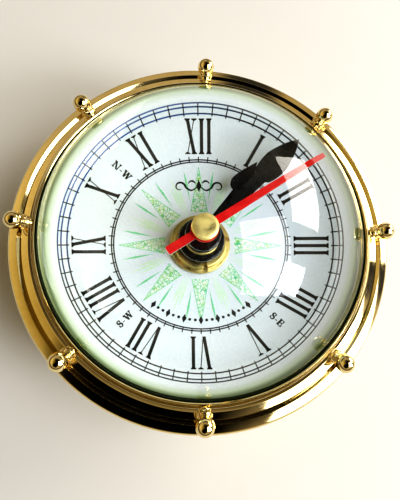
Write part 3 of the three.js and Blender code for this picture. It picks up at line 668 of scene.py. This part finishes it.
def dome():
    """Solid plano-convex lens: flat underside, ground green edge and a polished spherical cap."""
    rise = LENS_APEX - LENS_EDGE_TOP
    sphere = (LENS_RADIUS ** 2 + rise ** 2) / (2 * rise)
    spread = math.degrees(math.asin(LENS_RADIUS / sphere))
    cap = arc(0, LENS_APEX - sphere, sphere, 90 - spread, 90, 72)
    outline = [
        (0, LENS_UNDERSIDE), (LENS_RADIUS - 0.5, LENS_UNDERSIDE), (LENS_RADIUS, LENS_UNDERSIDE + 0.5),
        *cap[:-1], (0, LENS_APEX),
    ]
    piece = lathe("dome_lens", outline, GLASS, RING_SEGMENTS, 25)
    edge_top = LENS_EDGE_TOP * MM
    paint_faces(piece, GROUND_EDGE, lambda face: abs(face.normal.z) < 0.8 and face.center.z < edge_top)
    stand_for(piece, "glass_dome")


def flat_ring(name, node, bore, radii, material, segments=RING_SEGMENTS, smooth_below=SHARP_ANGLE):
    """A ring in place of a CAD node and as large; its corners' radii start at the bore's foot."""
    low, high = corners(node)
    section = [(*point, radius) for point, radius in zip(rectangle(bore, low.z, high.x, high.z), radii)]
    piece = lathe(name, rounded(section), material, segments, smooth_below)
    stand_for(piece, node)
    return piece


def felt_ring():
    """Felt ring with softly rounded edges and a slightly uneven nap."""
    unevenness = 0.0016
    piece = flat_ring("felt_ring", "felt_foot", 39.6, (0.3, 0.3, 0.15, 0.15), FELT, smooth_below=60)
    for vertex in piece.data.vertices:
        angle = math.atan2(vertex.co.y, vertex.co.x)
        sway = 1 - unevenness * abs(math.sin(37 * angle) * math.sin(61 * angle + 1.3))
        vertex.co.x *= sway
        vertex.co.y *= sway


bezel()
for number in range(1, HANDLE_COUNT + 1):
    handle(number)
case()
dome()
flat_ring("dome_seal", "glass_seal", corners("glass_seal")[1].x - 2.4, (0.15, 0.1, 0.15, 0.15), RUBBER)
felt_ring()


# ---- dial and its print

PRINT_FOOT = DIAL_TOP - 0.01
PRINT_TOP = DIAL_TOP + 0.03
TRACK_RADII = (29.4, 30.75, 31.55)
NUMERAL_FOOT, NUMERAL_HEIGHT = 21.0, 7.4
INNER_RADII = (19.28, 19.76)
DOTS_RADIUS = 17.3
MINUTES = 60


def dial():
    """White disc with a bare steel underside and a bore for the movement's bush."""
    disc = flat_ring("dial_disc", "dial_plate", 4.35, (0, 0.15, 0.15, 0.1), DIAL)
    paint_faces(disc, STEEL, lambda face: face.normal.z < -0.5)


def printed(name, outlines, material, height=PRINT_TOP):
    """A print on the dial: thin plates that stand for the ink's thickness."""
    place(prisms(name, outlines, PRINT_FOOT, height, [material]), "clock", "dial_white")


def ring_print(name, radii, width, material):
    """Thin printed circles, one at each radius."""
    rings = []
    for radius in radii:
        inner, outer = radius - width / 2, radius + width / 2
        section = rectangle(inner, PRINT_FOOT, outer, PRINT_TOP)
        rings.append(lathe(f"{name}_{len(rings)}", section, material, FINE_RING_SEGMENTS))
    place(joined(name, rings), "clock", "dial_white")


def ticks(name, inner, outer, width):
    """One stroke for each minute, between two radii."""
    half = width / 2
    ends = ((inner, -half), (outer, -half), (outer, half), (inner, half))
    angles = [360 * minute / MINUTES for minute in range(MINUTES)]
    outlines = [[clock_point(radius, angle, across) for radius, across in ends] for angle in angles]
    printed(name, outlines, BLACK_INK, PRINT_TOP + 0.01)


# Capitals: full-height strokes (foot, head, thick), serifs (place, at the top, thick) and right side,
# in letter heights from the middle of the first serif.
CAPITALS = {
    "I": ([(0, 0, True)], [(0, True, True), (0, False, True)], 0),
    "V": ([(0.165, 0, True), (0.19, 0.27, False)], [(0, True, True), (0.27, True, False)], 0.27),
    "X": (
        [(0.2, 0, True), (0, 0.2, False)],
        [(0, True, True), (0.2, True, False), (0.2, False, True), (0, False, False)], 0.2,
    ),
    "N": (
        [(0, 0, False), (0.72, 0.72, False), (0.6, 0, True)],
        [(0, False, False), (-0.05, True, False), (0.72, True, False)], 0.72,
    ),
    "W": (
        [(0.24, 0, True), (0.24, 0.48, False), (0.72, 0.48, True), (0.72, 0.96, False)],
        [(0, True, True), (0.48, True, False), (0.96, True, False)], 0.96,
    ),
}


def stroke(x0, y0, x1, y1, width):
    half = width / 2
    return [(x0 - half, y0), (x0 + half, y0), (x1 + half, y1), (x1 - half, y1)]


class Glyphs:
    """Serif capitals in a box of height 1, drawn as simple outlines from the left edge."""

    def __init__(self, thick, thin, serif_width, serif_height):
        self.thick, self.thin = thick, thin
        self.serif_width, self.serif_height = serif_width, serif_height

    def serif(self, x, at_top, thick):
        """A slab at the end of a stroke, with short brackets into it."""
        half = self.serif_width / 2
        stem = (self.thick if thick else self.thin) / 2
        edge, step = (1, -1) if at_top else (0, 1)
        slab = edge + step * self.serif_height * 0.65
        bracket = edge + step * self.serif_height * 2.2
        return [
            (x - half, edge), (x + half, edge), (x + half, slab),
            (x + stem, bracket), (x - stem, bracket), (x - half, slab),
        ]

    def capital(self, name):
        """The outlines and the width of a letter from the table."""
        strokes, serifs, right = CAPITALS[name]
        left = self.serif_width / 2
        shapes = []
        for foot, head, thick in strokes:
            shapes.append(stroke(left + foot, 0, left + head, 1, self.thick if thick else self.thin))
        shapes += [self.serif(left + x, at_top, thick) for x, at_top, thick in serifs]
        return shapes, self.serif_width + right

    def letter_e(self):
        shapes, width = self.capital("I")
        stem, end, bar = width / 2, width / 2 + 0.52, self.serif_height
        for low, reach in ((0, end), (0.5 - bar / 2, end - 0.12), (1 - bar, end - 0.04)):
            shapes.append(rectangle(stem, low, reach, low + bar))
        for x, low, high in ((end, 0, 0.3), (end - 0.04, 0.7, 1), (end - 0.12, 0.36, 0.64)):
            shapes.append(stroke(x, low, x, high, self.thin * 1.3))
        return shapes, end + self.thin

    def letter_s(self):
        upper = arc(0.36, 0.745, 0.215, 20, 270, 14)
        lower = arc(0.36, 0.275, 0.255, 90, -160, 14)
        points = upper + lower
        swell = [math.sin(math.pi * i / (len(points) - 1)) ** 2 for i in range(len(points))]
        widths = [self.thin + (self.thick - self.thin) * part for part in swell]
        upper_end = stroke(0.56, 0.66, 0.58, 0.98, self.thin * 1.3)
        lower_end = stroke(0.12, 0.04, 0.12, 0.36, self.thin * 1.3)
        return [ribbon(points, widths), upper_end, lower_end], 0.7

    def dash(self):
        return [rectangle(0.05, 0.3, 0.4, 0.4)], 0.45

    def word(self, text, gap):
        """The outlines of a word, centred on its own width."""
        makers = {"E": self.letter_e, "S": self.letter_s, "-": self.dash}
        shapes, cursor = [], 0
        for letter in text:
            outlines, width = makers[letter]() if letter in makers else self.capital(letter)
            shapes += [[(x + cursor, y) for x, y in outline] for outline in outlines]
            cursor += width + gap
        middle = (cursor - gap) / 2
        return [[(x - middle, y) for x, y in outline] for outline in shapes]


def laid(outlines, size, origin, right_angle):
    """Outlines scaled and laid on the dial, with their right at an angle clockwise from XII."""
    right = Vector(clock_point(1, right_angle))
    up = Vector((-right.y, right.x))
    start = Vector(origin)
    return [[tuple(start + right * x * size + up * y * size) for x, y in outline] for outline in outlines]


def numerals():
    """Roman numerals with their feet towards the centre, IIII for four."""
    glyphs = Glyphs(thick=0.098, thin=0.024, serif_width=0.165, serif_height=0.03)
    shapes = []
    for hour, name in enumerate("XII I II III IIII V VI VII VIII IX X XI".split()):
        foot = clock_point(NUMERAL_FOOT, 30 * hour)
        shapes += laid(glyphs.word(name, 0.055), NUMERAL_HEIGHT, foot, 30 * hour + 90)
    printed("roman_numerals", shapes, BLACK_INK)


def compass_letters():
    """Small points of the compass, set along the radius so that each reads from its left."""
    glyphs = Glyphs(thick=0.25, thin=0.12, serif_width=0.36, serif_height=0.1)
    size, middle = 1.6, 24.0
    shapes = []
    for name, angle in (("N-E", 45), ("S-E", 135), ("S-W", 225), ("N-W", 315)):
        on_right = angle < 180
        foot = clock_point(middle, angle, size / 2 if on_right else -size / 2)
        shapes += laid(glyphs.word(name, 0.1), size, foot, angle if on_right else angle - 180)
    printed("compass_letters", shapes, BLACK_INK)


def kite(angle, first, middle, last, half_width):
    """A slim diamond along a ray of the dial, widest at its middle radius."""
    return [
        clock_point(first, angle), clock_point(middle, angle, half_width),
        clock_point(last, angle), clock_point(middle, angle, -half_width),
    ]


def rose():
    """Compass rose: eight netted rays, green shards beside them and pale shards between."""
    rays, edges, shards, pale = [], [], [], []
    for i in range(8):
        angle = 45 * i
        tip = clock_point(18.2, angle)
        left, right = (clock_point(8.1, angle + side * 13.5) for side in (-1, 1))
        rays.append([left, tip, right])
        for base in (left, right):
            edges.append(ribbon([base, tip], [0.16, 0.1]))
        for side in (-1, 1):
            shards.append(kite(angle + side * 11, 10.6, 14.8, 17.7, 0.24))
        between = angle + 22.5
        for lean, reach in ((-3.2, 15.2), (0, 17.2), (3.2, 15.2)):
            pale.append(kite(between + lean, 7.6, 12.5, reach, 0.3))
    printed("rose_rays", rays, NET, DIAL_TOP + 0.015)
    printed("rose_edges", edges, GREEN_INK, DIAL_TOP + 0.025)
    printed("rose_shards", shards, GREEN_INK)
    printed("rose_pale_shards", pale, PALE_INK, DIAL_TOP + 0.008)


def scroll(side):
    """Strokes of the scrollwork on one side: a spiral, a sweep towards the middle and a leaf."""
    steps = 24
    spiral, sweep = [], []
    for i in range(steps + 1):
        turn = 5.4 * i / steps
        shrink = 1 - turn / 9
        spiral.append((side * (4.3 - 1.3 * math.cos(turn) * shrink), 13.6 + 1.25 * math.sin(turn) * shrink))
        sweep.append((side * (3.0 - 2.5 * i / steps), 13.6 - 0.7 * math.sin(math.pi * i / steps)))
    leaf = curve_through((side * 0.5, 14.1), (side * 1.2, 15.4), (side * 2.0, 15.2), (side * 2.4, 14.4), 8)
    return [
        ribbon(spiral, [0.5 - 0.016 * i for i in range(steps + 1)]),
        ribbon(sweep, [0.46 - 0.01 * i for i in range(steps + 1)]),
        ribbon(leaf, [0.2, 0.34, 0.42, 0.42, 0.36, 0.3, 0.22, 0.14]),
    ]


def ornaments():
    """Generic scrollwork below XII and a row of dots and diamonds above VI."""
    shapes = [kite(0, 15.3, 13.9, 12.5, 0.62), *scroll(-1), *scroll(1)]
    for i in range(-9, 10):
        angle = 180 + i * 4.2
        if i % 3 == 0:
            shapes.append(kite(angle, DOTS_RADIUS + 1, DOTS_RADIUS, DOTS_RADIUS - 1, 0.5))
        else:
            shapes.append(arc(*clock_point(DOTS_RADIUS, angle), 0.32, 0, 330, 11))
    printed("dial_ornaments", shapes, BLACK_INK)


dial()
ring_print("minute_rings", TRACK_RADII, 0.3, TRACK_INK)
ring_print("inner_rings", INNER_RADII, 0.27, BLACK_INK)
ticks("minute_ticks", 28.95, 31.6, 0.24)
ticks("inner_ticks", 19.28, 20.45, 0.22)
numerals()
compass_letters()
rose()
ornaments()


# ---- dial nut and hands

def bush():
    """Brass bush with a flange below the dial and a rolled thread on its upper end."""
    low, high = corners("threaded_bush")
    radius, bore, flange = 4, 3.35, 5.2
    start = DIAL_LOW.z - 0.1
    pitch, thread_depth = 0.5, 0.22
    threads = []
    for i in range(int((high.z - start - 0.2) / pitch)):
        base = start + i * pitch
        threads += [(radius - thread_depth, base), (radius, base + pitch / 2)]
    outline = [
        (bore, low.z), (radius, low.z), (radius, start - 1.2),
        (flange, start - 1.2), (flange, start - 0.3), (radius, start - 0.3),
        *threads, (radius - 0.25, high.z - 0.15), (radius - 0.4, high.z), (bore, high.z),
    ]
    stand_for(lathe("bush_threaded", outline, TURNED, SMALL_SEGMENTS, 20), "threaded_bush")


def nut():
    """Dial nut: a stepped brass ring with key slots."""
    low, high = corners("dial_nut")
    bore = 4.3
    outline = rounded([
        (bore, low.z), (high.x, low.z, 0.1), (high.x, low.z + 0.62, 0.22),
        (high.x - 0.75, low.z + 0.75, 0.1), (high.x - 0.95, high.z, 0.3), (bore, high.z, 0.15),
    ])
    piece = lathe("nut_slotted", outline, SATIN, 128)
    key = rectangle(4.7, -0.5, 7.4, 0.5)
    tools = []
    for i in range(NUT_SLOTS):
        slot = prisms(f"slot_{i}", [key], low.z + 0.45, high.z + 1, [SATIN])
        tools.append(turned_by(slot, NUT_SLOT_TURN + 360 / NUT_SLOTS * i))
    stand_for(cut(piece, tools), "dial_nut")


def spade(root, root_half, neck, neck_half, lobe, lobe_half, shoulder, tip):
    """Outline of a spade hand along +Y: tapering stem, round lobes and a drawn-out point."""
    widest = (lobe_half, lobe + 0.5)
    right = [
        (root_half, root),
        (neck_half, neck),
        *curve_through((neck_half, neck), (lobe_half, neck + 0.2), (lobe_half * 1.05, lobe), widest),
        *curve_through(widest, (lobe_half * 0.9, lobe + 2), (shoulder, tip - 2.4), (0.04, tip)),
    ]
    left = [(-x, y) for x, y in reversed(right)]
    return right + left


def hand(name, node, outline, hub_radius, bore, blade_bottom, angle):
    """A stamped hand: lacquered faces, bright cut edges and a domed hub."""
    low, high = corners(node)
    blade = prisms(name, [outline], blade_bottom, blade_bottom + BLADE_THICKNESS, [BLACK, EDGE], 1)
    hub = lathe(f"{name}_hub", rounded([
        (bore, low.z), (hub_radius, low.z, 0.06), (hub_radius, high.z - 0.28, 0.1),
        (hub_radius - 0.28, high.z, 0.12), (bore, high.z, 0.1),
    ]), BLACK, SMALL_SEGMENTS)
    rim_radius, rim_height = (hub_radius - 0.1) * MM, (high.z - 0.23) * MM
    paint_faces(hub, EDGE, lambda face: (
        face.center.xy.length > rim_radius and abs(face.center.z - rim_height) < 0.07 * MM
    ))
    stand_for(turned_by(joined(name, [blade, hub]), angle), node)


def second_hand():
    """Red stick on a disc, with a blunt tail and a slim taper to its tip."""
    low, high = corners("second_hand")
    tail, tip, half, tip_half = -10, 34.1, 1, 0.6
    stick = rounded([
        (-half, tail, 0.35), (half, tail, 0.35), (half, 4),
        (tip_half, tip, 0.15), (-tip_half, tip, 0.15), (-half, 4),
    ])
    blade = prisms("second_stick", [stick], low.z, high.z, [RED, EDGE], 1)
    bore, disc, foot, face = 1.4, 3.2, low.z + 0.01, high.z - 0.01
    plate = lathe("second_disc", rectangle(bore, foot, disc, face), RED, SMALL_SEGMENTS)
    stand_for(turned_by(joined("second_stick", [blade, plate]), SECOND_ANGLE), "second_hand")


def cap():
    """Domed brass cap with fine concentric tool marks, on a stem that grips the second arbor."""
    low, high = corners("second_hand_cap")
    top, bore, stem = high.z, 0.8, 1.15
    crown, crown_rise = 2.6, 0.17
    dome_steps = [1 - i / 10 for i in range(1, 10)]
    outline = [
        (bore, low.z), (stem, low.z), (stem, top - 1.1),
        (2.75, top - 1.1), *arc(2.85, top - 0.85, 0.25, 270, 360, 4),
        *arc(2.68, top - 0.62, 0.42, 0, 62, 6),
        *[(crown * step, top - crown_rise * step ** 2) for step in dome_steps],
        (0, top), (0, top - 1.5), (bore, top - 1.5),
    ]
    stand_for(lathe("cap_domed", outline, CAP, SMALL_SEGMENTS, 50), "second_hand_cap")


bush()
nut()
HOUR_BLADE = spade(
    root=3.8, root_half=1.35, neck=13.7, neck_half=0.85, lobe=15.6, lobe_half=2.4, shoulder=1.15, tip=21.8,
)
MINUTE_BLADE = spade(
    root=3, root_half=1.1, neck=18.4, neck_half=1.5, lobe=23.2, lobe_half=2.8, shoulder=1.6, tip=31,
)
hand("hour_blade", "hour_hand", HOUR_BLADE, 5.2, 3.35, DIAL_TOP + 3, HOUR_ANGLE)
flat_ring("collet_ring", "hour_hand_collet", 3.4, (0, 0.08, 0.2, 0.1), SATIN, SMALL_SEGMENTS)
hand("minute_blade", "minute_hand", MINUTE_BLADE, 4.05, 2.5, DIAL_TOP + 6.2, MINUTE_ANGLE)
second_hand()
cap()


# ---- movement, battery and back

EASED_EDGES = {
    "movement_back": 0.3, "movement_front": 0.3, "middle_plate": 0.15, "battery_contact_positive": 0.08,
    "battery_contact_negative": 0.08, "coil_bobbin": 0.15, "coil_core": 0.1, "stator": 0.08,
    "circuit_board": 0.1, "quartz_crystal": 0.12, "setting_knob": 0.12, "intermediate_wheel": 0.04,
    "second_wheel": 0.04, "third_wheel": 0.04, "centre_wheel": 0.04, "motion_wheel": 0.05,
    "hour_wheel": 0.05, "cannon_pinion": 0.04, "rotor": 0.06, "rubber_washer": 0.2,
}
CAD_LOOKS = {
    "polished_brass": POLISHED, "turned_brass": TURNED, "clear_glass": GLASS, "dial_white": DIAL,
    "black_lacquer": BLACK, "red_lacquer": RED, "white_plastic": WHITE_PLASTIC, "black_rubber": RUBBER,
    "green_felt": FELT, "steel": STEEL, "copper_wire": winding(), "circuit_green": board(),
    "battery_wrap": WRAP,
    "black_plastic": moulded("black_plastic", (0.012, 0.012, 0.013), (0.022, 0.022, 0.024), 0.5, 0.18),
    "ferrite": moulded("ferrite", (0.03, 0.03, 0.032), (0.06, 0.06, 0.06), 0.6, 0.08),
}


def eased(node, width):
    """A copy of a CAD solid with its flat faces whole and its sharp edges rounded by a width."""
    build = bmesh.new()
    build.from_mesh(frame["nodes"][node].data)
    bmesh.ops.remove_doubles(build, verts=build.verts, dist=1e-6)
    bmesh.ops.dissolve_limit(build, angle_limit=math.radians(1), verts=build.verts, edges=build.edges)
    mesh = bpy.data.meshes.new(f"{node}_eased")
    build.to_mesh(mesh)
    build.free()
    piece = new_object(f"{node}_eased", mesh, [CAD_LOOKS[SLOT_OF[node]]])
    modifier = piece.modifiers.new("edge", "BEVEL")
    modifier.width = width * MM
    modifier.segments = 2
    modifier.limit_method = "ANGLE"
    modifier.angle_limit = math.radians(40)
    modifier.harden_normals = True
    stand_for(apply_modifiers(piece), node)


def battery():
    """A dry cell with crimped ends and a raised positive cap."""
    low, high = corners("battery")
    whole, radius = high.x - low.x, (high.z - low.z) / 2
    body, crimp = whole - 1, 5.3
    outline = rounded([
        (0, 0.35), (4.8, 0.35, 0.2), (crimp, 0, 0.2), (radius, 0, 0.6),
        (radius, body, 0.6), (crimp, body, 0.2), (4.9, body - 0.35, 0.15),
        (2.8, body - 0.35, 0.15), (2.7, whole, 0.5), (0, whole),
    ])
    mesh = lathe_mesh("battery_cell", outline, SMALL_SEGMENTS)
    middle = Vector((low.x, (low.y + high.y) / 2, (low.z + high.z) / 2)) * MM
    mesh.transform(Matrix.Translation(middle) @ Matrix.Rotation(math.pi / 2, 4, "Y"))
    stand_for(new_object("battery_cell", mesh, [WRAP]), "battery")


def back_marks():
    """Pale marks on the movement's back: the setting knob's arrow and the battery's poles."""
    low, high = corners("setting_knob")
    x, y = (low.x + high.x) / 2, (low.y + high.y) / 2
    radius, head_half, bar_half = 6.6, 1.3, 0.3
    shaft = arc(x, y, radius, 35, 140, 20)
    tip, foot = math.radians(160), math.radians(138)
    head = [
        (x + reach * math.cos(angle), y + reach * math.sin(angle))
        for reach, angle in ((radius - head_half, foot), (radius + head_half, foot), (radius, tip))
    ]
    shapes = [ribbon(shaft, [0.7] * len(shaft)), head]
    plus, minus, pole_y = 21.5, -21.5, -8.6
    across, upright = (head_half, bar_half), (bar_half, head_half)
    for pole_x, (half_x, half_y) in ((plus, across), (plus, upright), (minus, across)):
        shapes.append(rectangle(pole_x - half_x, pole_y - half_y, pole_x + half_x, pole_y + half_y))
    surface = corners("movement_back")[0].z
    piece = prisms("back_marks", shapes, surface - 0.08, surface + 0.05, [WHITE_PLASTIC])
    place(piece, "clock", "white_plastic")


for node, slot in SLOT_OF.items():
    mesh = frame["nodes"][node].data
    mesh.materials.clear()
    mesh.materials.append(CAD_LOOKS[slot])
for node, width in EASED_EDGES.items():
    eased(node, width)
battery()
back_marks()


# ---- floor, light and camera

def floor():
    mesh = bpy.data.meshes.new("floor")
    side = 3.0
    mesh.from_pydata([(x, y, 0) for x, y in rectangle(-side, -side, side, side)], [], [(0, 1, 2, 3)])
    look = Look("floor", Roughness=0.75, Specular_IOR_Level=0.2)
    look.colour(look.mix(look.noise(60, 3), (0.70, 0.68, 0.65), (0.74, 0.72, 0.69)))
    new_object("floor", mesh, [look.material])


def put(name, data, spot, *axes):
    """Links an object at a spot in metres, with its own right, up and back along the axes."""
    thing = bpy.data.objects.new(name, data)
    thing.matrix_world = Matrix.Translation(spot) @ Matrix(axes).transposed().to_4x4()
    SCENE.collection.objects.link(thing)
    return thing


def softbox(name, direction, along, distance, width, height, strength, tint):
    """A rectangular lamp that faces the clock, in metres; its power is its strength times its area."""
    lamp = bpy.data.lights.new(name, "AREA")
    lamp.shape = "RECTANGLE"
    lamp.size = width
    lamp.size_y = height
    lamp.energy = strength * math.pi * width * height
    lamp.color = tint
    away = Vector(direction).normalized()
    side = Vector(along) - away * away.dot(Vector(along))
    side.normalize()
    spot = away * distance + Vector((0, 0, FLANGE_TOP * MM))
    put(name, lamp, spot, side, away.cross(side), away)


# Colours of the room, as (position, RGB) stops: by height on a unit sphere, and then by the cosine of
# the angle from a centre. The shades multiply the room's colour there, and the glow adds to it.
ROOM_BY_HEIGHT = (
    (0.0, (0.04, 0.03, 0.02)), (0.17, (0.12, 0.10, 0.06)), (0.36, (0.42, 0.36, 0.25)),
    (0.55, (0.42, 0.36, 0.26)), (0.70, (0.27, 0.23, 0.17)), (0.82, (0.09, 0.08, 0.06)),
    (0.88, (0.015, 0.015, 0.015)), (1.0, (0.01, 0.01, 0.01)),
)
WIDE_SHADE = ((0.86, (1, 1, 1)), (0.93, (0.03, 0.03, 0.03)), (1.0, (0.02, 0.02, 0.02)))
NARROW_SHADE = ((0.988, (1, 1, 1)), (0.995, (0.16, 0.18, 0.28)), (1.0, (0.10, 0.12, 0.20)))
LEFT_WALL_GLOW = ((0.80, (0, 0, 0)), (0.95, (0.20, 0.14, 0.01)), (1.0, (0.22, 0.16, 0.01)))
VIEWER_SIDE = (-0.23, -0.57, 0.79)
LEFT_WALL = (-0.70, 0.12, 0.70)
DARK_SPOTS = ((0.806, 0.092, 0.585), (0.274, 0.864, 0.419))


def by_stops(nodes, value, stops):
    """A colour that runs through (position, colour) stops."""
    made = nodes.node("ValToRGB", {"Fac": value})
    elements = made.color_ramp.elements
    for element, (position, colour) in ((elements[0], stops[0]), (elements[1], stops[-1])):
        element.position = position
        element.color = (*colour, 1)
    for position, colour in stops[1:-1]:
        elements.new(position).color = (*colour, 1)
    return made.outputs["Color"]


def surroundings():
    """Soft room light: warm and mid-toned round the walls, dark overhead and behind the viewer."""
    world = bpy.data.worlds.new("room")
    world.use_nodes = True
    SCENE.world = world
    nodes = Nodes(world.node_tree)
    direction = nodes.node("TexCoord").outputs["Generated"]
    height = nodes.node("SeparateXYZ", {0: direction}).outputs["Z"]
    room = by_stops(nodes, height, ROOM_BY_HEIGHT)
    lobes = [("ADD", LEFT_WALL, LEFT_WALL_GLOW), ("MULTIPLY", VIEWER_SIDE, WIDE_SHADE)]
    lobes += [("MULTIPLY", centre, NARROW_SHADE) for centre in DARK_SPOTS]
    for blend, centre, stops in lobes:
        inputs = {0: direction, 1: Vector(centre).normalized()}
        nearness = nodes.node("VectorMath", inputs, operation="DOT_PRODUCT").outputs["Value"]
        room = nodes.mix(1, room, by_stops(nodes, nearness, stops), blend)
    nodes.feed(world.node_tree.nodes["Background"].inputs["Color"], room)


def camera():
    """Looks down at the clock as a person does who leans over it from its lower left."""
    eye = Vector((-10.29, -34.39, 142.01))
    target = Vector((-1.29, -5.77, 34))
    back = (eye - target).normalized()
    up_hint = Vector((-0.00367, 0.96671, 0.25586))
    right = up_hint.cross(back).normalized()
    data = bpy.data.cameras.new("camera")
    data.lens = 28.8
    data.clip_start = 0.005
    SCENE.camera = put("camera", data, eye * MM, right, back.cross(right), back)


camera()
floor()
surroundings()
softbox("near_softbox", (0.60, -0.24, 0.73), (0, 0.92, 0.34), 1.0, 0.80, 0.56, 4.4, (0.94, 0.97, 1.0))
softbox("far_softbox", (0.76, 0.38, 0.33), (-0.28, 0.73, -0.24), 1.0, 0.66, 0.36, 6.6, (1.0, 0.96, 0.88))
softbox("key", (0.80, -0.37, 0.47), (0, 1, 0), 1.1, 0.30, 0.30, 16.3, (0.92, 0.97, 1.03))
SCENE.view_settings.view_transform = "Standard"
SCENE.view_settings.look = "High Contrast"
